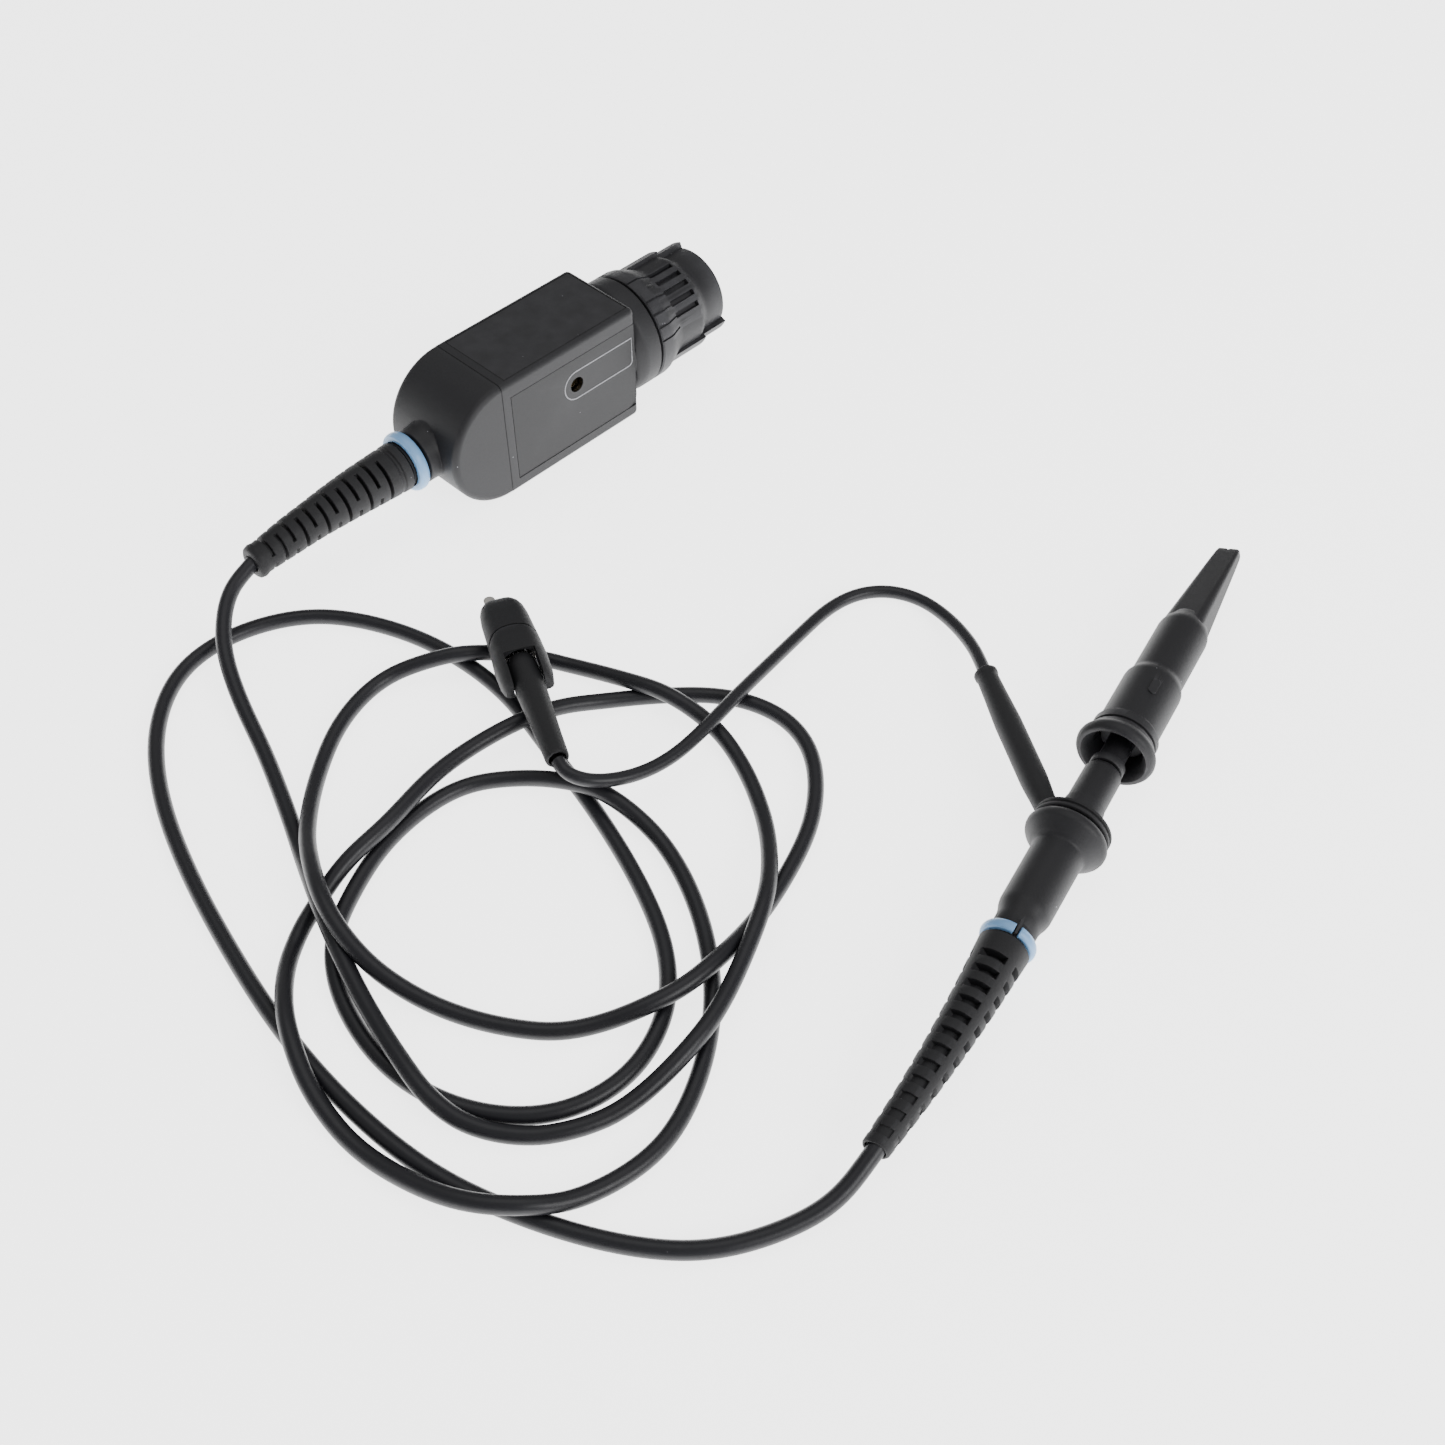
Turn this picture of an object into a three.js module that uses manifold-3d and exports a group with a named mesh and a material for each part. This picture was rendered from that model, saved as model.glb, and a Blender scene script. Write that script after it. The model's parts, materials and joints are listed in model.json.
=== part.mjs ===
// Ten-to-one passive oscilloscope probe: compensation box with its BNC locking ring, coiled coaxial
// cable, probe head with a retractable hook tip, and a ground lead with a small spring clip.
// Units are millimetres and +Z is up. Everything lies on the plane Z = 0.

import * as THREE from "three";
import { mergeVertices } from "three/addons/utils/BufferGeometryUtils.js";
import Module from "manifold-3d";

const wasm = await Module();
wasm.setup();

// ---- driving dimensions -------------------------------------------------------------------------
const FIT = 0.3; // gap between pieces that touch in the real probe
const ROUND = 32; // sides of a large round piece
const SMALL = 16; // sides of a small round piece

const BOX = { length: 36.2, width: 20.2, height: 27.2, wall: 1.6, edge: 0.9 };
const NOSE = { reach: 13.4, neck: 5.75, neckEnd: -19.4 };
const COLLAR = { radius: 12.1, end: 41.8 };
const BOX_AT = [-54.8, 52.99]; // seam of the nose and the box
const BOX_TURN = THREE.MathUtils.degToRad(46.1);

const RING = { start: 42.4, end: 63.5, rear: 12.1, middle: 10.4, front: 9.3, bore: 7.6 };
const PROBE_AXIS_HEIGHT = 7.3; // the finger guard and the hook flange rest on the table
const PROBE_AT = [63.7, -30.41]; // rear rim of the hook flange
const PROBE_TURN = THREE.MathUtils.degToRad(59.75);
const GUARD = 7.25;
const HOOK = { flange: 7.25, sleeve: 5.5, waist: 4.8, end: 59.0, bore: 4.75 };
const GROUND_COLLAR_U = -19.05;

const CABLE = 3.0;
const WIRE = 2.5;
const CABLE_SIDES = 8;

// ---- colours ------------------------------------------------------------------------------------
function finish(colour, roughness, metalness = 0) {
  return new THREE.MeshStandardMaterial({ color: colour, roughness, metalness });
}
const BLACK_PLASTIC = finish(0x2b2b2e, 0.55);
const BLACK_RUBBER = finish(0x29292b, 0.75);
const BLUE_MARKER = finish(0x8fb4d6, 0.45);
const NICKEL = finish(0xc9c7bf, 0.25, 1);
const GOLD = finish(0xd8b25c, 0.25, 1);
const WHITE_INSULATOR = finish(0xe9e8e2, 0.5);
const GREEN_BOARD = finish(0x1f5a38, 0.5);
const CERAMIC = finish(0xb9a27c, 0.6);

// ---- solids -------------------------------------------------------------------------------------
function toSolid(geometry) {
  const bare = geometry.clone();
  bare.deleteAttribute("normal");
  bare.deleteAttribute("uv");
  const merged = mergeVertices(bare, 1e-4);
  const mesh = new wasm.Mesh({
    numProp: 3,
    vertProperties: merged.attributes.position.array,
    triVerts: new Uint32Array(merged.index.array),
  });
  return new wasm.Manifold(mesh);
}

function toGeometry(solid) {
  const mesh = solid.getMesh();
  const geometry = new THREE.BufferGeometry();
  geometry.setAttribute("position", new THREE.BufferAttribute(mesh.vertProperties, 3));
  geometry.setIndex(new THREE.BufferAttribute(mesh.triVerts, 1));
  geometry.computeVertexNormals();
  return geometry;
}

function join(first, ...others) {
  return toGeometry(others.reduce((sum, g) => sum.add(toSolid(g)), toSolid(first)));
}

function cut(first, ...others) {
  return toGeometry(others.reduce((left, g) => left.subtract(toSolid(g)), toSolid(first)));
}

// A solid of revolution about X. The profile is a list of [x, radius], rear end first. One that
// doesn't touch the axis at both ends is closed by its own first point, which makes a ring.
function turned(profile, sides = SMALL) {
  const points = profile.map(([x, radius]) => new THREE.Vector2(radius, x));
  const onAxis = profile[0][1] === 0 && profile.at(-1)[1] === 0;
  if (!onAxis) points.push(points[0].clone());
  const geometry = new THREE.LatheGeometry(points, sides);
  return geometry.rotateZ(-Math.PI / 2);
}

// A pin or disc about X.
function rod(from, to, radius, sides = SMALL) {
  return turned([[from, 0], [from, radius], [to, radius], [to, 0]], sides);
}

// A tube about X.
function tube(from, to, outer, inner, sides = SMALL) {
  return turned([[from, inner], [from, outer], [to, outer], [to, inner]], sides);
}

function block(from, to) {
  const size = from.map((low, axis) => to[axis] - low);
  const middle = from.map((low, axis) => (to[axis] + low) / 2);
  return new THREE.BoxGeometry(...size).translate(...middle);
}

// A flat outline in X and Z, made solid from y = from to y = to.
function plateXZ(shape, from, to, curveSegments = 8) {
  const options = { depth: to - from, bevelEnabled: false, curveSegments };
  const geometry = new THREE.ExtrudeGeometry(shape, options);
  return geometry.rotateX(Math.PI / 2).translate(0, to, 0);
}

// A flat outline in Y and Z, made solid from x = from to x = to.
function plateYZ(shape, from, to, curveSegments = 6) {
  const options = { depth: to - from, bevelEnabled: false, curveSegments };
  const geometry = new THREE.ExtrudeGeometry(shape, options);
  return geometry.rotateY(Math.PI / 2).rotateX(Math.PI / 2).translate(from, 0, 0);
}

function roundedRectangle(width, height, radius) {
  const w = width / 2 - radius;
  const h = height / 2 - radius;
  const shape = new THREE.Shape();
  shape.absarc(w, h, radius, 0, Math.PI / 2);
  shape.absarc(-w, h, radius, Math.PI / 2, Math.PI);
  shape.absarc(-w, -h, radius, Math.PI, 1.5 * Math.PI);
  shape.absarc(w, -h, radius, 1.5 * Math.PI, 2 * Math.PI);
  shape.closePath();
  return shape;
}

// Part of a ring about X between two radii, centred on an angle that runs from +Y towards +Z.
function sector(from, to, inner, outer, centreDegrees, spanDegrees, segments = 2) {
  const start = THREE.MathUtils.degToRad(centreDegrees - spanDegrees / 2);
  const end = THREE.MathUtils.degToRad(centreDegrees + spanDegrees / 2);
  const shape = new THREE.Shape();
  shape.absarc(0, 0, outer, start, end, false);
  shape.absarc(0, 0, inner, end, start, true);
  shape.closePath();
  return plateYZ(shape, from, to, segments);
}

// Points along a straight bore or pin, close enough together for it to be bent afterwards.
function line(from, to, radius) {
  const points = [];
  const stretches = 6;
  for (let i = 0; i <= stretches; i++) {
    points.push([THREE.MathUtils.lerp(from, to, i / stretches), radius]);
  }
  return points;
}

// Bends whatever lies behind x = from: it moves by (sideways, down) at x = end, and less before.
function droop(geometry, from, end, sideways, down) {
  const position = geometry.attributes.position;
  for (let i = 0; i < position.count; i++) {
    const along = (position.getX(i) - from) / (end - from);
    if (along <= 0) continue;
    position.setY(i, position.getY(i) + sideways * along ** 2);
    position.setZ(i, position.getZ(i) - down * along ** 2);
  }
  return geometry;
}

const root = new THREE.Group();

function piece(parent, name, geometry, material) {
  const mesh = new THREE.Mesh(geometry, material);
  mesh.name = name;
  parent.add(mesh);
  return mesh;
}

// ---- compensation box ---------------------------------------------------------------------------
// The box's own frame has X along the cable axis, from the nose seam towards the connector.
const box = new THREE.Group();
box.position.set(BOX_AT[0], BOX_AT[1], BOX.height / 2);
box.rotation.z = BOX_TURN;
root.add(box);

const TRIMMER = { x: 19.4, z: 17.1 - BOX.height / 2 };
const PANEL_THICKNESS = 0.5;

function boxShell() {
  const outline = roundedRectangle(BOX.width, BOX.height, BOX.edge);
  const outer = plateYZ(outline, FIT / 2, BOX.length, 3);
  const shoulder = turned([
    [BOX.length - 1, 0], [BOX.length - 1, 10.2], [BOX.length + 0.2, 10.9], [BOX.length + 1.3, 11.8],
    [BOX.length + 2, COLLAR.radius], [COLLAR.end, COLLAR.radius], [COLLAR.end, 0],
  ], ROUND);
  const wall = BOX.wall;
  const cavity = block(
    [-1, -BOX.width / 2 + wall, -BOX.height / 2 + wall],
    [BOX.length - wall, BOX.width / 2 - wall, BOX.height / 2 - wall],
  );
  const bore = rod(BOX.length - wall - 1, COLLAR.end + 1, 4.9 + FIT);
  const side = -BOX.width / 2;
  const sideRecess = block([2.2 - FIT, side - 1, -10.6 - FIT], [35.7 + FIT, side + PANEL_THICKNESS, 10.2]);
  const top = BOX.height / 2;
  const topRecess = block([2 - FIT, -8.7 - FIT, top - PANEL_THICKNESS], [35 + FIT, 8.7 + FIT, top + 1]);
  const access = rod(-1, 4, 2.3).rotateZ(Math.PI / 2).translate(TRIMMER.x, side, TRIMMER.z);
  return cut(join(outer, shoulder), cavity, bore, sideRecess, topRecess, access);
}

function noseCap() {
  const half = BOX.height / 2;
  const shape = new THREE.Shape();
  shape.moveTo(-FIT / 2, -half);
  shape.lineTo(-FIT / 2, half);
  shape.absellipse(-FIT / 2, 0, NOSE.reach, half, Math.PI / 2, 1.5 * Math.PI, false, 0);
  const body = plateXZ(shape, -BOX.width / 2, BOX.width / 2, 18);
  const neck = turned([
    [NOSE.neckEnd, 0], [NOSE.neckEnd, 4.6], [-16.0, 4.6], [-15.8, NOSE.neck],
    [-13.2, NOSE.neck], [-11.4, 6.6], [-9.5, 7.4], [-9.5, 0],
  ], 28);
  const hollow = block([-8.0, -7.6, -9.4], [1, 7.6, 9.4]);
  const cableHole = rod(NOSE.neckEnd - 1, -7, CABLE / 2 + FIT);
  return cut(join(body, neck), hollow, cableHole);
}

function sidePanel() {
  const shape = new THREE.Shape();
  const radius = 2.6;
  shape.moveTo(2.2, -10.6);
  shape.absarc(35.7 - radius, -10.6 + radius, radius, 1.5 * Math.PI, 2 * Math.PI);
  shape.lineTo(35.7, 9.9);
  shape.lineTo(2.2, 9.9);
  shape.closePath();
  const side = -BOX.width / 2;
  const plate = plateXZ(shape, side, side + PANEL_THICKNESS - FIT);
  const hole = rod(-1, 2, 1.7).rotateZ(Math.PI / 2).translate(TRIMMER.x, side, TRIMMER.z);
  return cut(plate, hole);
}

function topPanel() {
  const top = BOX.height / 2;
  return block([2, -8.7, top - PANEL_THICKNESS + FIT], [35, 8.7, top]);
}

piece(box, "comp_box_shell", boxShell(), BLACK_PLASTIC);
piece(box, "comp_box_nose", noseCap(), BLACK_PLASTIC);
piece(box, "side_label_panel", sidePanel(), BLACK_PLASTIC);
piece(box, "top_label_panel", topPanel(), BLACK_PLASTIC);

// Inside the box: the board stands on edge behind the access hole and carries the trimmer.
const BOARD_Y = -2.4;
const TRIMMER_Y = -BOX.width / 2 + BOX.wall + 0.5;
piece(box, "circuit_board", block([2, BOARD_Y, -9.5], [31.5, BOARD_Y + 1.2, 9.5]), GREEN_BOARD);
const trimmerBody = cut(
  block([TRIMMER.x - 3, TRIMMER_Y + 1.2, TRIMMER.z - 3], [TRIMMER.x + 3, BOARD_Y - FIT, TRIMMER.z + 3]),
  rod(0, 4, 2.2).rotateZ(-Math.PI / 2).translate(TRIMMER.x, TRIMMER_Y + 2.6, TRIMMER.z),
);
piece(box, "trimmer_body", trimmerBody, CERAMIC);

function trimmerRotor() {
  const disc = rod(0, 2.2, 1.8);
  const slot = block([1.7, -0.35, -2.5], [3, 0.35, 2.5]);
  const rotor = cut(disc, slot);
  return rotor.rotateZ(-Math.PI / 2).translate(TRIMMER.x, TRIMMER_Y + 2.2, TRIMMER.z);
}
piece(box, "trimmer_rotor", trimmerRotor(), GOLD);

function chipRow(name, xs, z, size, material) {
  xs.forEach((x, i) => {
    const [length, depth, height] = size;
    const low = [x - length / 2, BOARD_Y - FIT - depth, z - height / 2];
    const high = [x + length / 2, BOARD_Y - FIT, z + height / 2];
    piece(box, name + "_" + (i + 1), block(low, high), material);
  });
}
chipRow("chip_resistor", [7, 11], -4, [2.6, 0.8, 1.6], CERAMIC);
chipRow("chip_capacitor", [26], -4, [3.2, 1.4, 2.2], CERAMIC);

// The connector: a fixed contact sleeve, insulator and pin, and a coupling nut inside the ring.
function contactBody() {
  const flange = turned([
    [BOX.length - 3, 4.0], [BOX.length - 3, 4.9], [43.0, 4.9], [43.0, 6.6], [44.2, 6.6],
    [44.2, 4.1], [60.5, 4.1], [60.5, 3.3], [45.0, 3.3], [45.0, 1.6], [34.5, 1.6], [34.5, 4.0],
  ], 24);
  return flange;
}
piece(box, "bnc_contact_body", contactBody(), NICKEL);
piece(box, "bnc_insulator", tube(45.3, 53.0, 2.9, 1.0, 24), WHITE_INSULATOR);
piece(box, "bnc_centre_pin", turned([
  [33.4, 0], [33.4, 0.7], [57.5, 0.7], [58.6, 0.3], [58.6, 0],
], 16), GOLD);
piece(box, "bnc_gasket", tube(44.5, 45.9, 6.3, 4.4, 24), BLACK_RUBBER);

function lockingRing() {
  const barrel = turned([
    [RING.start, RING.bore], [RING.start, RING.rear], [45.6, 12.0], [47.8, 11.2], [50.0, RING.middle],
    [55.5, RING.middle], [56.9, 9.9], [58.2, RING.front], [RING.end, RING.front - 0.05],
    [RING.end, RING.bore],
  ], ROUND);
  const wings = [];
  for (const centre of [45, 225]) {
    wings.push(sector(47.6, 56.8, 9, 11.2, centre, 44));
    wings.push(sector(56.6, RING.end + 0.2, 8.5, 10.5, centre, 44));
  }
  let ring = join(barrel, ...wings);
  const hollow = rod(RING.start - 1, RING.end + 3, RING.bore, 28);
  ring = cut(ring, hollow);
  const grooves = [];
  for (const middle of [132, 312]) {
    for (let i = -2.5; i <= 2.5; i++) {
      grooves.push(sector(48.6, 55.5, 9.3, 13, middle + i * 14, 6));
    }
  }
  return cut(ring, ...grooves);
}

function couplingNut() {
  const body = turned([
    [46.2, 4.7], [46.2, RING.bore - FIT], [62.9, RING.bore - FIT], [62.9, 5.0], [47.4, 5.0],
    [47.4, 4.7],
  ], 28);
  const slots = [45, 225].map((angle) => sector(50.5, 53.0, 4.4, 7.0, angle, 70));
  const mouths = [10, 190].map((angle) => sector(50.5, 64, 4.4, 6.4, angle + 10, 24));
  return cut(body, ...slots, ...mouths);
}
piece(box, "bnc_locking_ring", lockingRing(), BLACK_PLASTIC);
piece(box, "bnc_coupling_nut", couplingNut(), NICKEL);

function markerRing(middle, half, inner, outer, gapDegrees) {
  const ring = turned([
    [middle - half, inner], [middle - half, outer - 0.7], [middle - half / 2, outer - 0.12],
    [middle, outer], [middle + half / 2, outer - 0.12], [middle + half, outer - 0.7],
    [middle + half, inner],
  ], 28);
  if (gapDegrees === null) return ring;
  return cut(ring, sector(middle - 3, middle + 3, inner - 0.5, outer + 1, gapDegrees, 24));
}
piece(box, "box_marker_ring", markerRing(-17.7, 1.2, 4.6 + FIT, 6.3, null), BLUE_MARKER);

const BOX_BOOT = { start: -19.4 - FIT, bendFrom: -28, end: -55.4, aside: 0, sag: 2.1 };

function boxBoot() {
  const sleeve = turned([
    [BOX_BOOT.end, 2.6], [-55.0, 3.15], [-54.3, 3.4], [-53.5, 3.2],
    [-47, 3.64], [-41, 3.91], [-35, 4.33], [-29, 4.7], [-22.4, 5.0], [-22.2, 4.7], [-21.7, 4.7],
    [-21.5, 5.05], [BOX_BOOT.start, 5.1], ...line(BOX_BOOT.start, BOX_BOOT.end, CABLE / 2 + FIT),
  ], 24);
  const slots = [];
  for (let station = 0; station < 6; station++) {
    for (const half of [0, 180]) {
      const first = -27.6 - station * 4.9;
      slots.push(sector(first - 0.38, first + 0.38, 2.4, 7, 82 + half, 150, 3));
      const second = -25.1 - station * 4.9;
      slots.push(sector(second - 0.38, second + 0.38, 2.4, 7, 172 + half, 150, 3));
    }
  }
  return droop(cut(sleeve, ...slots), BOX_BOOT.bendFrom, BOX_BOOT.end, BOX_BOOT.aside, BOX_BOOT.sag);
}
piece(box, "box_strain_boot", boxBoot(), BLACK_RUBBER);

// ---- probe head ---------------------------------------------------------------------------------
// The head's own frame has X along the probe, from the rear rim of the hook flange to the tip.
const head = new THREE.Group();
head.position.set(PROBE_AT[0], PROBE_AT[1], PROBE_AXIS_HEIGHT);
head.rotation.z = PROBE_TURN;
root.add(head);

const PROBE_BOOT = { start: -46.2 - FIT, bendFrom: -54, end: -87, aside: 2.2, sag: 2.4 };

function probeBoot() {
  const sleeve = turned([
    [PROBE_BOOT.end, 2.25], [-78, 2.7], [-66, 3.35], [-54, 4.0], [PROBE_BOOT.start, 4.4],
    ...line(PROBE_BOOT.start, PROBE_BOOT.end, CABLE / 2 + FIT),
  ], 24);
  const windows = [];
  for (let station = 0; station < 12; station++) {
    const x = -51.1 - station * 3.06;
    for (const row of [87, 177, 267, 357]) {
      windows.push(sector(x - 0.75, x + 0.75, 2.35 - station * 0.02, 7, row, 64, 1));
    }
  }
  return droop(cut(sleeve, ...windows), PROBE_BOOT.bendFrom, PROBE_BOOT.end, PROBE_BOOT.aside, PROBE_BOOT.sag);
}

function probeBarrel() {
  const body = turned([
    [-46.2, 2.6], [-46.2, 3.6], [-43.2, 3.6], [-43.0, 3.75], [-41.2, 3.8], [-39.2, 4.35],
    [-38.2, 4.52], [-25.1, 4.57], [-24.7, 4.8], [-24.3, 5.3], [-22.6, 6.85], [-22.1, 7.15],
    [-21.4, GUARD], [-20.9, 7.15], [-20.3, 6.5], [-20.3, 3.9], [-38.4, 3.9], [-39.6, 2.9], [-39.6, 2.6],
  ], 28);
  const key = block([-46.1, -0.6, 3.2], [-43.1, 0.6, 4.7]).rotateX(THREE.MathUtils.degToRad(15));
  return join(body, key);
}

function frontBarrel() {
  return turned([
    [-38.0, 2.9], [-38.0, 3.9 - FIT], [-13.4, 3.9 - FIT], [-13.2, 3.53], [-5.4, 3.45], [-4.6, 3.0],
    [-4.6, 2.2], [-8.0, 2.2], [-8.0, 2.9],
  ], 28);
}

function hookCore() {
  return turned([
    [-7.6, 0.9], [-7.6, 1.9], [-4.2, 1.9], [-4.2, 3.1], [-2.6, 3.1], [-2.6, 2.4], [4.0, 2.4],
    [4.0, 4.2], [6.0, 4.4], [15.0, 4.4], [15.0, 2.4], [28.4, 2.4], [28.4, 0.9],
  ], 24);
}

piece(head, "probe_strain_boot", probeBoot(), BLACK_RUBBER);
piece(head, "probe_marker_ring", markerRing(-44.9, 1.3, 3.6 + FIT, 4.9, 105), BLUE_MARKER);
piece(head, "probe_barrel", probeBarrel(), BLACK_PLASTIC);
piece(head, "front_barrel", frontBarrel(), BLACK_PLASTIC);
piece(head, "hook_core", hookCore(), BLACK_PLASTIC);

// Inside the barrel: shield tube, network housing and the needle that the hook core slips over.
piece(head, "shield_tube", tube(-37.5, -9.0, 2.6, 2.2, 20), NICKEL);
piece(head, "tip_insulator", turned([
  [-14.0, 0.85], [-14.0, 1.9], [-8.6, 1.9], [-8.6, 0.85],
], 16), WHITE_INSULATOR);
piece(head, "tip_resistor", turned([
  [-34.0, 0], [-34.0, 0.4], [-31.0, 0.4], [-30.6, 1.5], [-18.4, 1.5], [-18.0, 0.4], [-15.0, 0.4],
  [-15.0, 0],
], 16), CERAMIC);
piece(head, "tip_needle", turned([
  [-14.6, 0], [-14.6, 0.55], [10.0, 0.55], [12.5, 0.1], [12.5, 0],
], 12), GOLD);

// ---- hook tip -----------------------------------------------------------------------------------
// The sleeve slides back along the core against its spring and bares the hook.
const NOSE_ROLL = THREE.MathUtils.degToRad(-19);

// A flattened cone between two rounded rectangles.
function chisel(from, to, startSize, endSize) {
  const shape = roundedRectangle(2, 2, 0.9);
  const geometry = plateYZ(shape, from, to, 5);
  const position = geometry.attributes.position;
  for (let i = 0; i < position.count; i++) {
    const t = (position.getX(i) - from) / (to - from);
    const width = THREE.MathUtils.lerp(startSize[0], endSize[0], t);
    const height = THREE.MathUtils.lerp(startSize[1], endSize[1], t);
    position.setY(i, (position.getY(i) * width) / 2);
    position.setZ(i, (position.getZ(i) * height) / 2);
  }
  return geometry.rotateX(NOSE_ROLL);
}

function hookSleeve() {
  const body = turned([
    [-0.6, 0], [-0.6, 6.7], [0.0, 7.15], [0.9, HOOK.flange], [1.7, 6.9], [2.4, 6.3], [3.2, 6.05],
    [3.25, 5.7], [3.75, 5.7], [3.8, 6.1], [5.3, 6.1], [5.35, 5.7], [5.9, 5.7], [6.2, HOOK.sleeve],
    [18.0, HOOK.sleeve], [19.0, 5.2], [19.8, HOOK.waist], [33.4, HOOK.waist], [34.6, 4.5],
    [35.8, 3.9], [37.0, 3.6], [37.0, 0],
  ], 28);
  const nose = chisel(35.2, HOOK.end, [7.6, 6.6], [4.2, 2.4]);
  const bore = turned([
    [-2, 0], [-2, 6.3], [-0.6, 6.0], [1.2, HOOK.bore], [29.0, HOOK.bore], [30.5, 3.0], [38.0, 3.0],
    [38.0, 1.15], [62, 1.15], [62, 0],
  ], 16);
  const mark = plateYZ(roundedRectangle(3.2, 1.4, 0.6), -0.35, 0.35, 4);
  mark.rotateY(Math.PI / 2).translate(13.5, 0, HOOK.sleeve).rotateX(THREE.MathUtils.degToRad(12));
  return cut(join(body, nose, mark), bore);
}
piece(head, "hook_sleeve", hookSleeve(), BLACK_PLASTIC);

// The hook: one wire, straight inside the sleeve and turned back on itself at the tip.
function hookWire() {
  const bend = 0.62;
  const route = new THREE.CurvePath();
  route.add(new THREE.LineCurve3(new THREE.Vector3(21.5, 0, -0.3), new THREE.Vector3(57.6, 0, -0.3)));
  const section = new THREE.Shape();
  section.absarc(0, 0, 0.32, 0, 2 * Math.PI);
  const stem = new THREE.ExtrudeGeometry(section, {
    steps: 1, bevelEnabled: false, curveSegments: 4, extrudePath: route.curves[0],
  });
  const turn = new THREE.CatmullRomCurve3([
    new THREE.Vector3(57.4, 0, -0.3), new THREE.Vector3(57.9, 0, -0.22),
    new THREE.Vector3(58.15, 0, 0.05), new THREE.Vector3(57.9, 0, bend - 0.3),
    new THREE.Vector3(57.0, 0, bend - 0.22), new THREE.Vector3(55.8, 0, bend - 0.28),
  ]);
  const hook = new THREE.ExtrudeGeometry(section, {
    steps: 12, bevelEnabled: false, curveSegments: 4, extrudePath: turn,
  });
  return join(stem, hook);
}
piece(head, "hook_wire", hookWire(), NICKEL);

// The return spring sits round the core between its shoulder and the step inside the sleeve.
function spring(from, to, radius, wire, turns, steps) {
  class Helix extends THREE.Curve {
    getPoint(t, target = new THREE.Vector3()) {
      const angle = t * turns * 2 * Math.PI;
      return target.set(from + (to - from) * t, radius * Math.cos(angle), radius * Math.sin(angle));
    }
  }
  const section = new THREE.Shape();
  section.absarc(0, 0, wire / 2, 0, 2 * Math.PI);
  return new THREE.ExtrudeGeometry(section, {
    steps, bevelEnabled: false, curveSegments: 2, extrudePath: new Helix(),
  });
}
piece(head, "hook_return_spring", spring(15.8, 28.4, 3.35, 0.55, 5, 50), NICKEL);

// ---- ground lead --------------------------------------------------------------------------------
const BOOT_FROM = new THREE.Vector3(-18.3, 4.5, 0.8);
const BOOT_TO = new THREE.Vector3(7.8, 27.9, -1.6);

function groundCollar() {
  const ring = tube(GROUND_COLLAR_U - 0.95, GROUND_COLLAR_U + 0.95, 6.85, 4.75, 36);
  return cut(ring, tube(GROUND_COLLAR_U - 0.25, GROUND_COLLAR_U + 0.25, 8, 6.45, 36));
}

// The lead's sleeve stands off the collar sideways and forwards, and narrows where the wire leaves.
function groundBoot() {
  const along = new THREE.Vector3().subVectors(BOOT_TO, BOOT_FROM);
  const length = along.length();
  const bore = WIRE / 2 + FIT;
  const sleeve = turned([
    [0.2, 0], [0.2, 2.0], [4, 2.2], [8, 2.45], [22, 2.45], [length - 6, 2.15], [length - 1.2, 2.0],
    [length - 0.8, 2.25], [length, 2.2], [length, bore], [length - 4, bore], [length - 4, 0],
  ], 20);
  const turn = new THREE.Quaternion().setFromUnitVectors(new THREE.Vector3(1, 0, 0), along.normalize());
  sleeve.applyQuaternion(turn).translate(...BOOT_FROM);
  return sleeve;
}

function groundLeadEnd() {
  const insideCollar = rod(GROUND_COLLAR_U - 9, GROUND_COLLAR_U + 0.75, 6.6, 36);
  const inFront = rod(GROUND_COLLAR_U - 9, GROUND_COLLAR_U + 9, 4.75, 36);
  const behindGuard = block([-30, -10, -5], [GROUND_COLLAR_U - 0.95, 12, 5]);
  const sleeve = cut(groundBoot(), insideCollar, inFront, behindGuard);
  return join(groundCollar(), sleeve);
}
piece(head, "ground_collar_boot", groundLeadEnd(), BLACK_RUBBER);
const contactRing = tube(GROUND_COLLAR_U - 0.9, GROUND_COLLAR_U + 0.9, 4.45, 3.9, 28);
piece(head, "ground_contact_ring", contactRing, NICKEL);

// ---- ground clip --------------------------------------------------------------------------------
// The clip's own frame has X from the open end of its tube towards the jaws. It lies across the
// cable, so its tail is a little higher than its nose.
const CLIP_AT = [-32.8, -33.4, 9.6];
const CLIP_TURN = THREE.MathUtils.degToRad(109.1);
const CLIP_DIP = THREE.MathUtils.degToRad(3.3);
const CLIP = { length: 43.2, pivot: 27.6, pivotZ: -0.8, seamCentre: 27.0, seamRadius: 5.3 };
const clip = new THREE.Group();
clip.position.set(...CLIP_AT);
clip.rotation.order = "ZYX";
clip.rotation.z = CLIP_TURN;
clip.rotation.y = CLIP_DIP;
root.add(clip);

// Outline seen from above, given by half widths along the clip; it is the same on both sides.
function clipPlan(halfWidths) {
  const points = halfWidths.map(([x, y]) => new THREE.Vector2(x, y));
  const mirrored = halfWidths.map(([x, y]) => new THREE.Vector2(x, -y)).reverse();
  return new THREE.Shape([...points, ...mirrored]);
}

function plateXY(shape, from, to) {
  const options = { depth: to - from, bevelEnabled: false };
  return new THREE.ExtrudeGeometry(shape, options).translate(0, 0, from);
}

function common(first, second) {
  return toGeometry(toSolid(first).intersect(toSolid(second)));
}

const LEVER_PLAN = [
  [18.6, 3.5], [19.0, 4.5], [21.0, 4.9], [25.0, 5.0], [29.0, 4.8], [33.0, 4.6], [38.5, 4.4],
  [41.1, 3.7], [42.6, 2.5], [CLIP.length, 0.9],
];

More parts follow.
